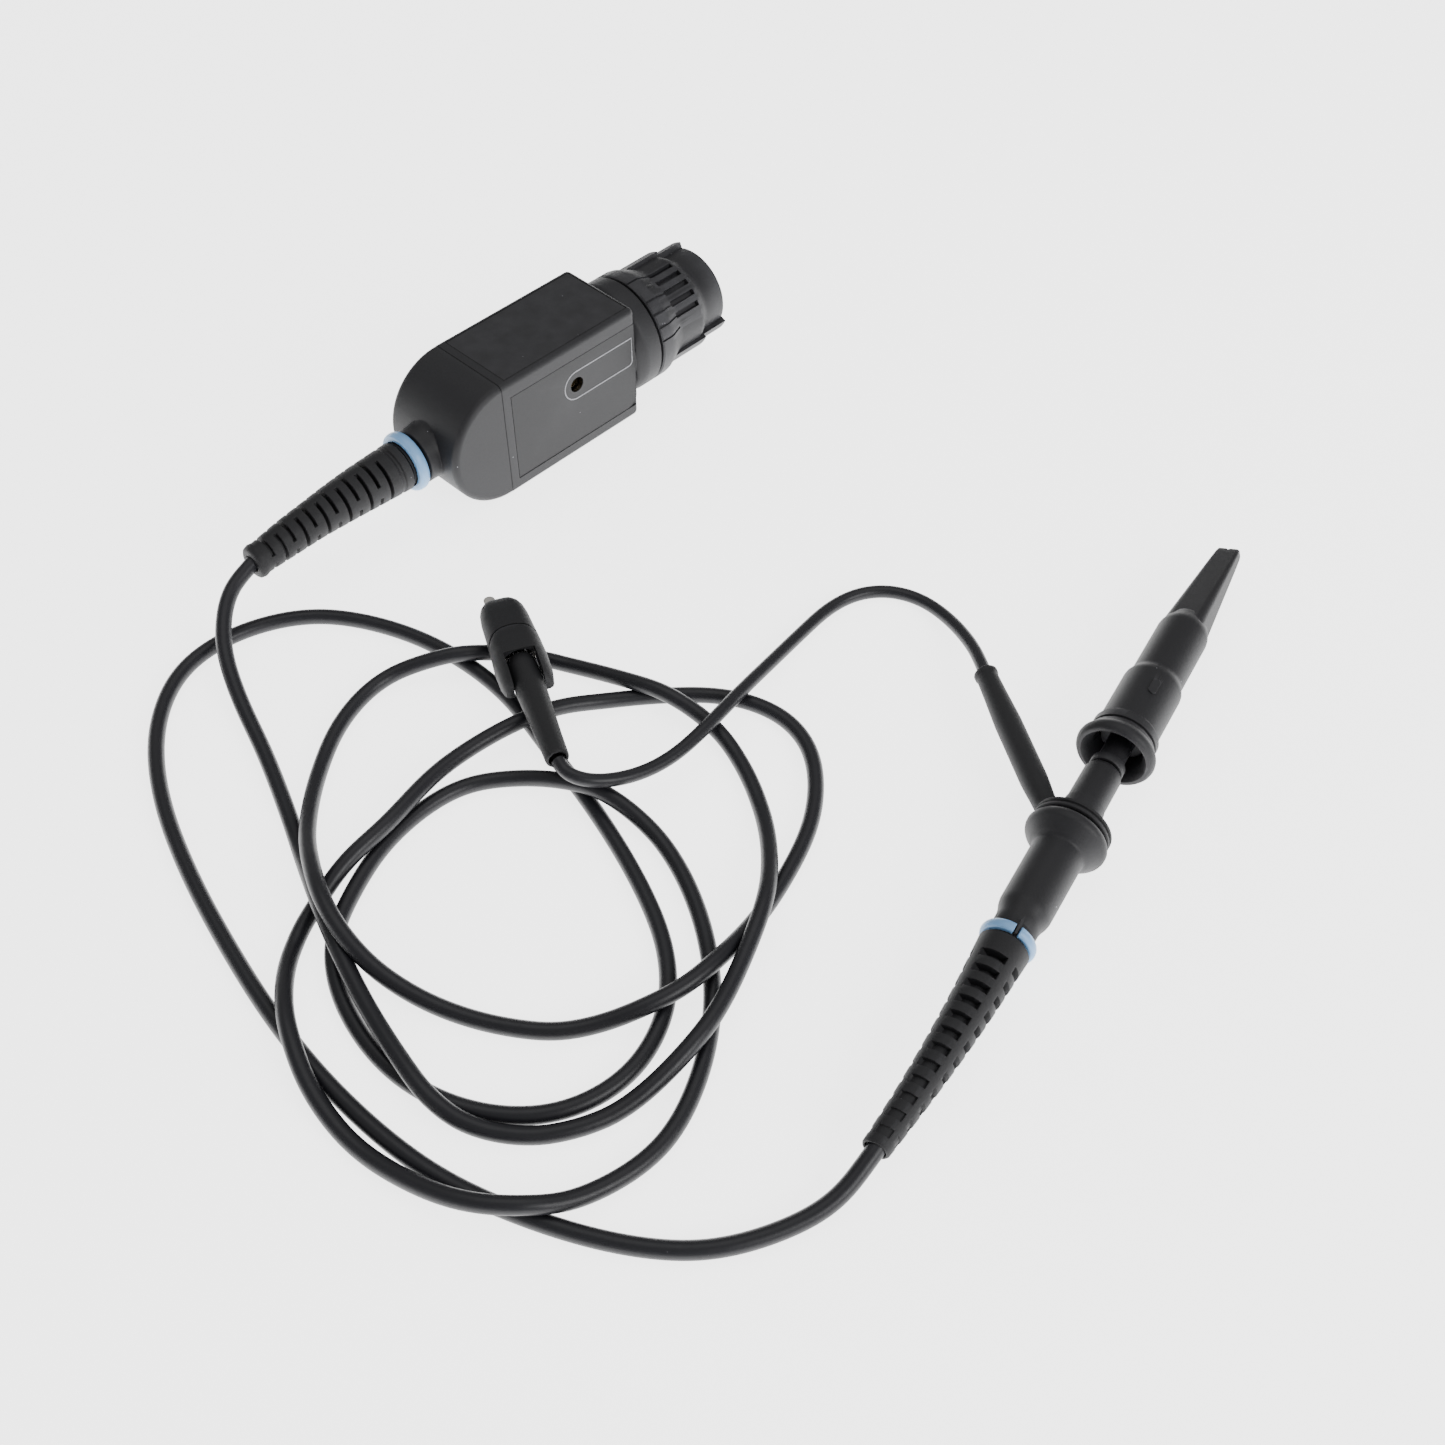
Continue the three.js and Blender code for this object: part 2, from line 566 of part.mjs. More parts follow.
// Nose cover and hood are one curved body, parted by a seam that bulges forwards.
function leverBody() {
  const side = new THREE.Shape([
    [18.4, -1.5], [18.4, 2.2], [20.0, 3.1], [25.0, 3.7], [30.0, 3.7], [34.5, 3.3], [40.5, 2.5],
    [43.1, 1.6], [44.3, 0.8], [44.3, 0.35], [28.5, 0.35], [26.0, -1.5],
  ].map(([x, z]) => new THREE.Vector2(x, z)));
  const body = common(plateXY(clipPlan(LEVER_PLAN), -4, 5), plateXZ(side, -6, 6));
  const tubeWay = rod(24, 26.8, 3.45, 20);
  const betweenLobes = block([10, -2.95, -9], [25.4, 2.95, 9]);
  const inside = block([24.5, -3.5, -4], [40.4, 3.5, 2.3]);
  return cut(body, tubeWay, betweenLobes, inside);
}

function seamDrum(radius) {
  return rod(-9, 9, radius, 40).rotateY(Math.PI / 2).translate(CLIP.seamCentre, 0, 0);
}

function clipHood() {
  const rear = block([10, -9, -9], [CLIP.seamCentre, 9, 9]);
  return common(leverBody(), join(seamDrum(CLIP.seamRadius), rear));
}

function clipNoseCover() {
  const rear = block([10, -9, -9], [CLIP.seamCentre + FIT, 9, 9]);
  return cut(leverBody(), seamDrum(CLIP.seamRadius + FIT), rear);
}

function clipTubeBoot() {
  const bore = WIRE / 2 + FIT;
  return turned([
    [0, bore], [0, 2.3], [0.6, 2.4], [12, 2.4], [20, 2.55], [25.6, 2.6], [25.6, 0], [4, 0], [4, bore],
  ], 20);
}

function clipLowerShell() {
  const plan = [
    [26.0, 2.9], [28.0, 3.6], [33.0, 3.8], [38.5, 3.6], [41.3, 2.9], [42.7, 1.6],
  ];
  const side = new THREE.Shape([
    [26.0, -0.6], [26.0, -2.6], [28.0, -3.1], [36.5, -3.1], [40.5, -2.4], [42.9, -1.2], [42.9, -0.6],
  ].map(([x, z]) => new THREE.Vector2(x, z)));
  const body = common(plateXY(clipPlan(plan), -4, 0), plateXZ(side, -5, 5));
  const springWell = rod(-2.4, 2.4, 1.9).rotateZ(Math.PI / 2).translate(CLIP.pivot, 0, CLIP.pivotZ);
  const pinHole = rod(-5, 5, 0.6 + FIT).rotateZ(Math.PI / 2).translate(CLIP.pivot, 0, CLIP.pivotZ);
  return cut(body, springWell, pinHole);
}

// Each metal jaw is a strip whose tip shows beyond the plastic, to the left of the middle.
function jawStrip(from, to) {
  const shape = new THREE.Shape([
    [30.5, -2.2], [38.5, -2.2], [41.5, -0.9], [43.2, 0.1], [44.7, 0.7], [45.1, 1.3], [44.8, 2.0],
    [43.4, 2.4], [41.5, 2.4], [30.5, 2.2],
  ].map(([x, y]) => new THREE.Vector2(x, y)));
  return plateXY(shape, from, to);
}

piece(clip, "clip_tube_boot", clipTubeBoot(), BLACK_RUBBER);
piece(clip, "clip_lower_shell", clipLowerShell(), BLACK_RUBBER);
const JAW_THICKNESS = 0.25;
const JAW_GAP = 0.05;
piece(clip, "clip_lower_jaw", jawStrip(-JAW_THICKNESS, 0), NICKEL);
piece(clip, "clip_upper_jaw", jawStrip(JAW_GAP, JAW_GAP + JAW_THICKNESS), NICKEL);
piece(clip, "clip_nose_cover", clipNoseCover(), BLACK_RUBBER);
piece(clip, "clip_hood", clipHood(), BLACK_RUBBER);
const pivotPin = rod(-3.2, 3.2, 0.6).rotateZ(Math.PI / 2).translate(CLIP.pivot, 0, CLIP.pivotZ);
piece(clip, "clip_pivot_pin", pivotPin, NICKEL);
const clipSpring = spring(-1.8, 1.8, 1.3, 0.45, 5, 40).rotateZ(Math.PI / 2);
clipSpring.translate(CLIP.pivot, 0, CLIP.pivotZ);
piece(clip, "clip_spring", clipSpring, NICKEL);

// ---- cable and ground wire ----------------------------------------------------------------------
// The cable lies in loose loops. Where one loop passes over another it rises in a long low hump.
const CABLE_ROUTE = [
  [-93.4, 12.8, 11.5], [-96.7, 7.0, 9.9], [-96.9, -2.5, 6.4], [-92.3, -14.0, 3.4],
  [-86.3, -24.9, 1.8], [-79.5, -39.5, 1.5], [-75.7, -48.5, 1.9], [-71.6, -57.9, 4.8],
  [-68.3, -64.9, 4.8], [-61.5, -77.5, 4.0], [-53.0, -90.3, 4.8], [-48.5, -95.7, 4.4],
  [-42.5, -99.3, 2.7], [-32.0, -100.5, 1.5], [-20.0, -96.5, 1.5], [-8.9, -86.1, 4.4],
  [-4.5, -78.9, 4.6], [-0.9, -70.1, 4.6], [2.5, -60.0, 5.5], [3.5, -50.5, 3.6],
  [2.5, -38.5, 1.5], [-2.0, -25.5, 1.5], [-6.7, -19.0, 2.6], [-14.4, -13.8, 4.7],
  [-21.0, -10.1, 4.0], [-31.0, -4.5, 1.7], [-42.5, -1.1, 1.6], [-51.7, -3.5, 4.7],
  [-58.0, -4.5, 4.0], [-67.0, -7.3, 1.9], [-73.2, -16.5, 1.5], [-75.9, -30.0, 1.6],
  [-75.1, -44.5, 4.4], [-72.8, -53.0, 6.8], [-69.5, -61.3, 8.2], [-65.5, -67.5, 7.1],
  [-59.0, -73.4, 4.3], [-47.5, -79.1, 1.8], [-32.3, -82.5, 1.5], [-23.7, -81.3, 2.1],
  [-16.5, -79.3, 4.1], [-10.5, -76.0, 4.7], [-5.0, -70.5, 4.5], [0.5, -62.3, 2.0],
  [5.5, -53.7, 1.5], [11.2, -40.0, 1.5], [11.6, -25.5, 1.5], [6.5, -16.5, 1.5],
  [-3.3, -11.6, 1.5], [-15.5, -11.3, 1.5], [-26.5, -13.0, 1.8], [-33.8, -15.7, 3.4],
  [-40.7, -20.3, 4.7], [-47.7, -24.7, 3.9], [-55.0, -32.5, 4.3], [-61.5, -43.5, 4.7],
  [-67.6, -50.5, 3.6], [-71.9, -57.8, 1.5], [-74.7, -68.0, 1.6], [-73.4, -79.0, 4.4],
  [-70.8, -86.5, 4.7], [-66.9, -93.9, 3.0], [-59.5, -102.2, 1.5], [-48.7, -109.5, 3.4],
  [-40.9, -112.6, 4.7], [-33.5, -113.2, 4.9], [-25.5, -111.1, 2.6], [-13.8, -102.7, 1.5],
  [-8.0, -90.5, 1.5], [-5.9, -76.5, 1.5], [-7.8, -61.5, 1.5], [-13.1, -47.8, 1.5],
  [-18.7, -40.8, 2.6], [-25.5, -36.3, 4.6], [-31.5, -34.0, 4.4], [-40.5, -31.3, 2.0],
  [-51.0, -33.1, 1.5], [-61.5, -44.0, 1.5], [-66.4, -56.1, 1.5], [-68.1, -65.5, 1.5],
  [-65.1, -76.7, 1.5], [-55.5, -89.5, 1.5], [-42.5, -96.3, 1.5], [-29.5, -96.6, 1.5],
  [-18.9, -90.1, 1.5], [-13.5, -79.0, 1.5], [-13.7, -67.0, 1.5], [-18.5, -53.5, 1.5],
  [-26.5, -38.3, 1.5], [-35.3, -24.5, 1.5], [-44.5, -10.7, 1.5], [-56.5, 0.1, 1.5],
  [-69.5, 6.8, 1.5], [-83.5, 9.3, 1.5], [-96.8, 4.5, 1.5], [-105.1, -4.9, 1.5],
  [-106.8, -19.0, 1.5], [-102.7, -35.0, 1.5], [-94.5, -51.5, 1.5], [-84.5, -67.3, 1.5],
  [-74.1, -81.6, 1.5], [-61.9, -94.9, 1.5], [-47.8, -106.3, 1.5], [-34.1, -113.0, 1.5],
  [-19.5, -117.5, 1.5], [-6.5, -118.5, 1.5], [5.5, -114.9, 1.6], [12.5, -110.8, 2.6],
  [17.8, -104.8, 4.9],
];
const WIRE_ROUTE = [
  [43.5, -9.3, 5.6], [42.1, -1.5, 4.4], [38.3, 8.0, 2.4], [33.5, 13.9, 1.4], [27.8, 16.1, 1.3],
  [21.8, 15.3, 1.3], [16.1, 11.5, 1.3], [10.2, 3.9, 1.9], [4.3, -4.8, 3.2], [-1.2, -13.2, 4.7],
  [-6.7, -21.5, 5.5], [-12.0, -28.0, 5.4], [-17.0, -32.4, 5.8], [-22.3, -35.6, 7.0],
  [-27.3, -37.0, 8.3], [-31.0, -36.2, 9.3], [-32.7, -33.7, 9.6],
];

// A smooth curve through the route's points that never dips below the table.
class LyingCurve extends THREE.CatmullRomCurve3 {
  constructor(route, lowest) {
    super(route.map((place) => new THREE.Vector3(...place)));
    this.lowest = lowest;
  }
  getPoint(t, target) {
    const point = super.getPoint(t, target);
    point.z = Math.max(point.z, this.lowest);
    return point;
  }
}

function cord(route, diameter, steps) {
  const section = new THREE.Shape();
  section.absarc(0, 0, diameter / 2, 0, 2 * Math.PI);
  return new THREE.ExtrudeGeometry(section, {
    steps,
    bevelEnabled: false,
    curveSegments: CABLE_SIDES / 2,
    extrudePath: new LyingCurve(route, diameter / 2),
  });
}
piece(root, "main_cable", cord(CABLE_ROUTE, CABLE, 68), BLACK_PLASTIC);
piece(root, "ground_wire", cord(WIRE_ROUTE, WIRE, 12), BLACK_PLASTIC);

// Short ends of the cable jacket, held inside the two strain boots and bent with them.
function jacketEnd(boot, inner) {
  const radius = CABLE / 2 - 0.05;
  const outer = boot.end + FIT;
  const profile = [[outer, 0], ...line(boot.start, outer, radius).reverse(), [inner, radius], [inner, 0]];
  return droop(turned(profile, CABLE_SIDES), boot.bendFrom, boot.end, boot.aside, boot.sag);
}
const boxEnd = jacketEnd(BOX_BOOT, -9.5);
piece(box, "cable_end_box", boxEnd, BLACK_PLASTIC);
const probeEnd = jacketEnd(PROBE_BOOT, -38.2);
piece(head, "cable_end_probe", probeEnd, BLACK_PLASTIC);

export default root;
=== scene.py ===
"""Ten-to-one oscilloscope probe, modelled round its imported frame.

Lengths inside a piece's own section are millimetres in that piece's own axes; the frame is metres.
"""

import json
import math

import bmesh
import bpy
from mathutils import Matrix, Vector


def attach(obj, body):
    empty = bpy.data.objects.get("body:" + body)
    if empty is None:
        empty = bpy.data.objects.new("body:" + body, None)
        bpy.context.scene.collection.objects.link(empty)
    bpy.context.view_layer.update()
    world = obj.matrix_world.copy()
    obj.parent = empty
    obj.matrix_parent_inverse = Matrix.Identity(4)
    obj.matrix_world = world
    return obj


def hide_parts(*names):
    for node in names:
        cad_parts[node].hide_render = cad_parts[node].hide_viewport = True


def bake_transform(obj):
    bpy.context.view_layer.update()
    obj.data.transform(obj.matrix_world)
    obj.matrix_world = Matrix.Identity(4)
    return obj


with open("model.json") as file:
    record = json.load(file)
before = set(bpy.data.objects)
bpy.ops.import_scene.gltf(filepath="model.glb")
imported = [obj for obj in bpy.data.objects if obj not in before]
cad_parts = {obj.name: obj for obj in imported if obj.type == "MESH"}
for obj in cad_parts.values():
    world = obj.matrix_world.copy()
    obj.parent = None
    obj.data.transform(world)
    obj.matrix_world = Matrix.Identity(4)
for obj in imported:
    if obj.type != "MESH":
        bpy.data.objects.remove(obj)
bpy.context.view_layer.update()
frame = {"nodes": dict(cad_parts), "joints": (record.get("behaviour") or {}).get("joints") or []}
nodes = frame["nodes"]
joints = {joint["name"]: joint for joint in frame["joints"]}

# ---- camera -------------------------------------------------------------------------------------
# The view of somebody who stands at the near edge of the bench and looks about fifty degrees down,
# through a slightly long lens.
camera_data = bpy.data.cameras.new("bench_camera")
camera_data.lens = 43.53
camera_data.sensor_width = 36
camera_data.clip_start = 0.01
camera = bpy.data.objects.new("bench_camera", camera_data)
camera.location = (-0.00447, -0.22636, 0.24)
camera.rotation_euler = (0.71831, 0, 0)
bpy.context.scene.collection.objects.link(camera)
bpy.context.scene.camera = camera

# ---- probe cable --------------------------------------------------------------------------------
# Thin coaxial cable between the box and the probe head: braid under a smooth black vinyl jacket.
# It is moulded into a strain boot at each end and lies on the bench in loose loops, and where one
# loop crosses another it rises in a long low hump.
CABLE_DIAMETER = 0.003
CABLE_ROUTE = [
    (-0.0934, 0.0128, 0.0115), (-0.0967, 0.007, 0.0099), (-0.0969, -0.0025, 0.0064),
    (-0.0923, -0.014, 0.0034), (-0.0863, -0.0249, 0.0018), (-0.0795, -0.0395, 0.0015),
    (-0.0757, -0.0485, 0.0019), (-0.0716, -0.0579, 0.0048), (-0.0683, -0.0649, 0.0048),
    (-0.0615, -0.0775, 0.004), (-0.053, -0.0903, 0.0048), (-0.0485, -0.0957, 0.0044),
    (-0.0425, -0.0993, 0.0027), (-0.032, -0.1005, 0.0015), (-0.02, -0.0965, 0.0015),
    (-0.0089, -0.0861, 0.0044), (-0.0045, -0.0789, 0.0046), (-0.0009, -0.0701, 0.0046),
    (0.0025, -0.06, 0.0055), (0.0035, -0.0505, 0.0036), (0.0025, -0.0385, 0.0015),
    (-0.002, -0.0255, 0.0015), (-0.0067, -0.019, 0.0026), (-0.0144, -0.0138, 0.0047),
    (-0.021, -0.0101, 0.004), (-0.031, -0.0045, 0.0017), (-0.0425, -0.0011, 0.0016),
    (-0.0517, -0.0035, 0.0047), (-0.058, -0.0045, 0.004), (-0.067, -0.0073, 0.0019),
    (-0.0732, -0.0165, 0.0015), (-0.0759, -0.03, 0.0016), (-0.0751, -0.0445, 0.0044),
    (-0.0728, -0.053, 0.0068), (-0.0695, -0.0613, 0.0082), (-0.0655, -0.0675, 0.0071),
    (-0.059, -0.0734, 0.0043), (-0.0475, -0.0791, 0.0018), (-0.0323, -0.0825, 0.0015),
    (-0.0237, -0.0813, 0.0021), (-0.0165, -0.0793, 0.0041), (-0.0105, -0.076, 0.0047),
    (-0.005, -0.0705, 0.0045), (0.0005, -0.0623, 0.002), (0.0055, -0.0537, 0.0015),
    (0.0112, -0.04, 0.0015), (0.0116, -0.0255, 0.0015), (0.0065, -0.0165, 0.0015),
    (-0.0033, -0.0116, 0.0015), (-0.0155, -0.0113, 0.0015), (-0.0265, -0.013, 0.0018),
    (-0.0338, -0.0157, 0.0034), (-0.0407, -0.0203, 0.0047), (-0.0477, -0.0247, 0.0039),
    (-0.055, -0.0325, 0.0043), (-0.0615, -0.0435, 0.0047), (-0.0676, -0.0505, 0.0036),
    (-0.0719, -0.0578, 0.0015), (-0.0747, -0.068, 0.0016), (-0.0734, -0.079, 0.0044),
    (-0.0708, -0.0865, 0.0047), (-0.0669, -0.0939, 0.003), (-0.0595, -0.1022, 0.0015),
    (-0.0487, -0.1095, 0.0034), (-0.0409, -0.1126, 0.0047), (-0.0335, -0.1132, 0.0049),
    (-0.0255, -0.1111, 0.0026), (-0.0138, -0.1027, 0.0015), (-0.008, -0.0905, 0.0015),
    (-0.0059, -0.0765, 0.0015), (-0.0078, -0.0615, 0.0015), (-0.0131, -0.0478, 0.0015),
    (-0.0187, -0.0408, 0.0026), (-0.0255, -0.0363, 0.0046), (-0.0315, -0.034, 0.0044),
    (-0.0405, -0.0313, 0.002), (-0.051, -0.0331, 0.0015), (-0.0615, -0.044, 0.0015),
    (-0.0664, -0.0561, 0.0015), (-0.0681, -0.0655, 0.0015), (-0.0651, -0.0767, 0.0015),
    (-0.0555, -0.0895, 0.0015), (-0.0425, -0.0963, 0.0015), (-0.0295, -0.0966, 0.0015),
    (-0.0189, -0.0901, 0.0015), (-0.0135, -0.079, 0.0015), (-0.0137, -0.067, 0.0015),
    (-0.0185, -0.0535, 0.0015), (-0.0265, -0.0383, 0.0015), (-0.0353, -0.0245, 0.0015),
    (-0.0445, -0.0107, 0.0015), (-0.0565, 0.0001, 0.0015), (-0.0695, 0.0068, 0.0015),
    (-0.0835, 0.0093, 0.0015), (-0.0968, 0.0045, 0.0015), (-0.1051, -0.0049, 0.0015),
    (-0.1068, -0.019, 0.0015), (-0.1027, -0.035, 0.0015), (-0.0945, -0.0515, 0.0015),
    (-0.0845, -0.0673, 0.0015), (-0.0741, -0.0816, 0.0015), (-0.0619, -0.0949, 0.0015),
    (-0.0478, -0.1063, 0.0015), (-0.0341, -0.113, 0.0015), (-0.0195, -0.1175, 0.0015),
    (-0.0065, -0.1185, 0.0015), (0.0055, -0.1149, 0.0016), (0.0125, -0.1108, 0.0026),
    (0.0178, -0.1048, 0.0049),
]
IN_BOOT = 0.0012
EASING_PASSES = 16


def smooth_path(route, lowest, per_span=10):
    """Points on the smooth curve that a cord with these route points takes, never below lowest."""
    places = [Vector(place) for place in route]
    before = places[0] * 2 - places[1]
    after = places[-1] * 2 - places[-2]
    ends = [before] + places + [after]
    path = []
    for i in range(len(places) - 1):
        a, b, c, d = ends[i:i + 4]
        spans = [max((q - p).length ** 0.5, 1e-6) for p, q in ((a, b), (b, c), (c, d))]
        leave = (b - a) / spans[0] - (c - a) / (spans[0] + spans[1]) + (c - b) / spans[1]
        reach = (c - b) / spans[1] - (d - b) / (spans[1] + spans[2]) + (d - c) / spans[2]
        leave *= spans[1]
        reach *= spans[1]
        for step in range(per_span):
            t = step / per_span
            path.append(
                b * (2 * t**3 - 3 * t**2 + 1) + leave * (t**3 - 2 * t**2 + t)
                + c * (3 * t**2 - 2 * t**3) + reach * (t**3 - t**2)
            )
    path.append(places[-1])
    for _ in range(EASING_PASSES):  # the stiffness of the cord evens out its bends
        eased = [(path[i - 1] + path[i] * 2 + path[i + 1]) / 4 for i in range(1, len(path) - 1)]
        path[1:-1] = eased
    for point in path:
        point.z = max(point.z, lowest)
    return path


def link(thing):
    """Puts an object into the scene."""
    bpy.context.scene.collection.objects.link(thing)
    return thing


cable_path = smooth_path(CABLE_ROUTE, CABLE_DIAMETER / 2)
cable_path.insert(0, cable_path[0] + (cable_path[0] - cable_path[1]).normalized() * IN_BOOT)
cable_path.append(cable_path[-1] + (cable_path[-1] - cable_path[-2]).normalized() * IN_BOOT)


def tube_along(name, path, radius, sides=20):
    """A closed mesh tube round a path, with its sections carried along without twist."""
    mesh = bmesh.new()
    side = Vector((0, 0, 1))
    rings = []
    for i, place in enumerate(path):
        ahead = path[min(i + 1, len(path) - 1)] - path[max(i - 1, 0)]
        ahead.normalize()
        side = (side - ahead * side.dot(ahead)).normalized()
        other = ahead.cross(side)
        ring = []
        for k in range(sides):
            turn = 2 * math.pi * k / sides
            ring.append(mesh.verts.new(place + (side * math.cos(turn) + other * math.sin(turn)) * radius))
        rings.append(ring)
    for near, far in zip(rings, rings[1:]):
        for k in range(sides):
            n = (k + 1) % sides
            mesh.faces.new((near[k], near[n], far[n], far[k]))
    mesh.faces.new(list(reversed(rings[0])))
    mesh.faces.new(rings[-1])
    bmesh.ops.recalc_face_normals(mesh, faces=mesh.faces)
    data = bpy.data.meshes.new(name)
    mesh.to_mesh(data)
    mesh.free()
    data.shade_smooth()
    data.set_sharp_from_angle(angle=math.radians(50))
    return link(bpy.data.objects.new(name, data))


probe_cable = tube_along("probe_cable", cable_path, CABLE_DIAMETER / 2)
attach(probe_cable, "probe_set")
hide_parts("main_cable")

# ---- ground wire --------------------------------------------------------------------------------
# Soft stranded lead in a vinyl sleeve, from the collar on the probe head to the clip's tube.
WIRE_DIAMETER = 0.0025
WIRE_ROUTE = [
    (0.0435, -0.0093, 0.0056), (0.0421, -0.0015, 0.0044), (0.0383, 0.008, 0.0024),
    (0.0335, 0.0139, 0.0014), (0.0278, 0.0161, 0.0013), (0.0218, 0.0153, 0.0013),
    (0.0161, 0.0115, 0.0013), (0.0102, 0.0039, 0.0019), (0.0043, -0.0048, 0.0032),
    (-0.0012, -0.0132, 0.0047), (-0.0067, -0.0215, 0.0055), (-0.012, -0.028, 0.0054),
    (-0.017, -0.0324, 0.0058), (-0.0223, -0.0356, 0.007), (-0.0273, -0.037, 0.0083),
    (-0.031, -0.0362, 0.0093), (-0.0327, -0.0337, 0.0096),
]

wire_path = smooth_path(WIRE_ROUTE, WIRE_DIAMETER / 2)
ground_lead = tube_along("ground_lead", wire_path, WIRE_DIAMETER / 2)
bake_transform(ground_lead)
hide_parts("ground_wire")

# ---- moulded plastic, rubber and jackets --------------------------------------------------------
# The mouldings are charcoal plastic from a spark-eroded tool and soft charcoal rubber. Both show a fine
# grain, paler outside edges and a few specks of dust; the paler edges are partly worn and partly a painted
# highlight. The cable's jacket is smoother.


def group_with(name, inputs, output):
    """An empty node group of plain numbers, with its own input and output nodes."""
    group = bpy.data.node_groups.new(name, "ShaderNodeTree")
    for label, value in inputs.items():
        socket = group.interface.new_socket(name=label, in_out="INPUT", socket_type="NodeSocketFloat")
        socket.default_value = value
    group.interface.new_socket(name=output, in_out="OUTPUT", socket_type="NodeSocketFloat")
    return group, group.nodes.new("NodeGroupInput"), group.nodes.new("NodeGroupOutput")


def added(tree, kind, settings=None):
    """One more shader node; settings gives the values of some of its inputs."""
    node = tree.nodes.new("ShaderNode" + kind)
    for socket, value in (settings or {}).items():
        node.inputs[socket].default_value = value
    return node


def maths(tree, operation, settings=None):
    """One more Math node."""
    node = added(tree, "Math", settings)
    node.operation = operation
    return node


def wired(tree, *links):
    """Joins nodes up, from rows of a node, its output, the next node and its input."""
    for source, output, target, socket in links:
        tree.links.new(source.outputs[output], target.inputs[socket])


def mould_grain():
    """Height of a spark-eroded surface: two sizes of fine pits."""
    group, given, made = group_with("mould_grain", {"Pits per metre": 3000.0}, "Height")
    place = added(group, "TexCoord")
    fine = added(group, "TexNoise", {"Detail": 3})
    coarse = added(group, "TexVoronoi")
    half = maths(group, "MULTIPLY", {1: 0.45})
    total = maths(group, "MULTIPLY_ADD", {1: 0.35})
    wired(
        group,
        (place, "Object", fine, "Vector"),
        (place, "Object", coarse, "Vector"),
        (given, "Pits per metre", fine, "Scale"),
        (given, "Pits per metre", half, 0),
        (half, 0, coarse, "Scale"),
        (coarse, "Distance", total, 0),
        (fine, "Fac", total, 2),
        (total, 0, made, "Height"),
    )
    return group


def rubbed_edges():
    """1 on outside edges in patches, 0 elsewhere: edge wear and a painted highlight both make these edges
    paler.
    """
    group, given, made = group_with("rubbed_edges", {"From": 0.52, "To": 0.62}, "Mask")
    shape = added(group, "NewGeometry")
    place = added(group, "TexCoord")
    patches = added(group, "TexNoise", {"Scale": 260, "Detail": 4})
    band = added(group, "MapRange")
    both = maths(group, "MULTIPLY")
    wired(
        group,
        (shape, "Pointiness", band, "Value"),
        (given, "From", band, "From Min"),
        (given, "To", band, "From Max"),
        (place, "Object", patches, "Vector"),
        (band, "Result", both, 0),
        (patches, "Fac", both, 1),
        (both, 0, made, "Mask"),
    )
    return group


def bench_dust():
    """1 on a few tiny specks, 0 elsewhere."""
    group, given, made = group_with("bench_dust", {"Specks per metre": 420.0, "Amount": 0.07}, "Mask")
    place = added(group, "TexCoord")
    cells = added(group, "TexVoronoi")
    near = maths(group, "LESS_THAN")
    few = added(group, "TexNoise", {"Scale": 170})
    some = maths(group, "GREATER_THAN", {1: 0.56})
    both = maths(group, "MULTIPLY")
    wired(
        group,
        (place, "Object", cells, "Vector"),
        (place, "Object", few, "Vector"),
        (given, "Specks per metre", cells, "Scale"),
        (cells, "Distance", near, 0),
        (given, "Amount", near, 1),
        (few, "Fac", some, 0),
        (near, 0, both, 0),
        (some, 0, both, 1),
        (both, 0, made, "Mask"),
    )
    return group


GRAIN = mould_grain()
EDGE_WEAR_AND_HIGHLIGHT = rubbed_edges()
DUST = bench_dust()


def grouped(tree, group, settings=None):
    """One more node that stands for a node group."""
    node = tree.nodes.new("ShaderNodeGroup")
    node.node_tree = group
    for socket, value in (settings or {}).items():
        node.inputs[socket].default_value = value
    return node


def blank_material(name):
    """A new material, with its node tree and its Principled shader."""
    material = bpy.data.materials.new(name)
    material.use_nodes = True
    return material, material.node_tree, material.node_tree.nodes["Principled BSDF"]


def shade(colour, share=1.0):
    """A socket's colour: this one, brighter or darker by a share."""
    return (*[min(1, c * share) for c in colour], 1)


def moulding(name, colour, paler, rough, pits, depth, dusty, streaky=60.0):
    """A grained moulding: its colour drifts a little, its outside edges are paler with wear and a painted
    highlight, and its dust specks are paler.
    """
    material, tree, shader = blank_material(name)
    shader.inputs["Specular IOR Level"].default_value = 0.36
    place = added(tree, "TexCoord")
    drift = added(tree, "TexNoise", {"Scale": streaky, "Detail": 5})
    drift_band = added(tree, "MapRange", {"From Min": 0.35, "From Max": 0.65})
    grain = grouped(tree, GRAIN, {"Pits per metre": pits})
    edges = grouped(tree, EDGE_WEAR_AND_HIGHLIGHT)
    dust = grouped(tree, DUST, {"Amount": dusty})
    base = added(tree, "MixRGB", {"Color1": shade(colour, 0.93), "Color2": shade(colour, 1.07)})
    # Outside edges turn paler here: partly edge wear, partly a painted highlight.
    rubbed = added(tree, "MixRGB", {"Color2": shade(paler)})
    speckled = added(tree, "MixRGB", {"Color2": shade(paler, 5)})
    rough_band = added(tree, "MapRange", {"To Min": rough - 0.06, "To Max": rough + 0.06})
    bump = added(tree, "Bump", {"Distance": depth, "Strength": 0.6})
    wired(
        tree,
        (place, "Object", drift, "Vector"),
        (drift, "Fac", drift_band, "Value"),
        (drift_band, "Result", base, "Fac"),
        (base, "Color", rubbed, "Color1"),
        (edges, "Mask", rubbed, "Fac"),
        (rubbed, "Color", speckled, "Color1"),
        (dust, "Mask", speckled, "Fac"),
        (speckled, "Color", shader, "Base Color"),
        (grain, "Height", rough_band, "Value"),
        (rough_band, "Result", shader, "Roughness"),
        (grain, "Height", bump, "Height"),
        (bump, "Normal", shader, "Normal"),
    )
    return material


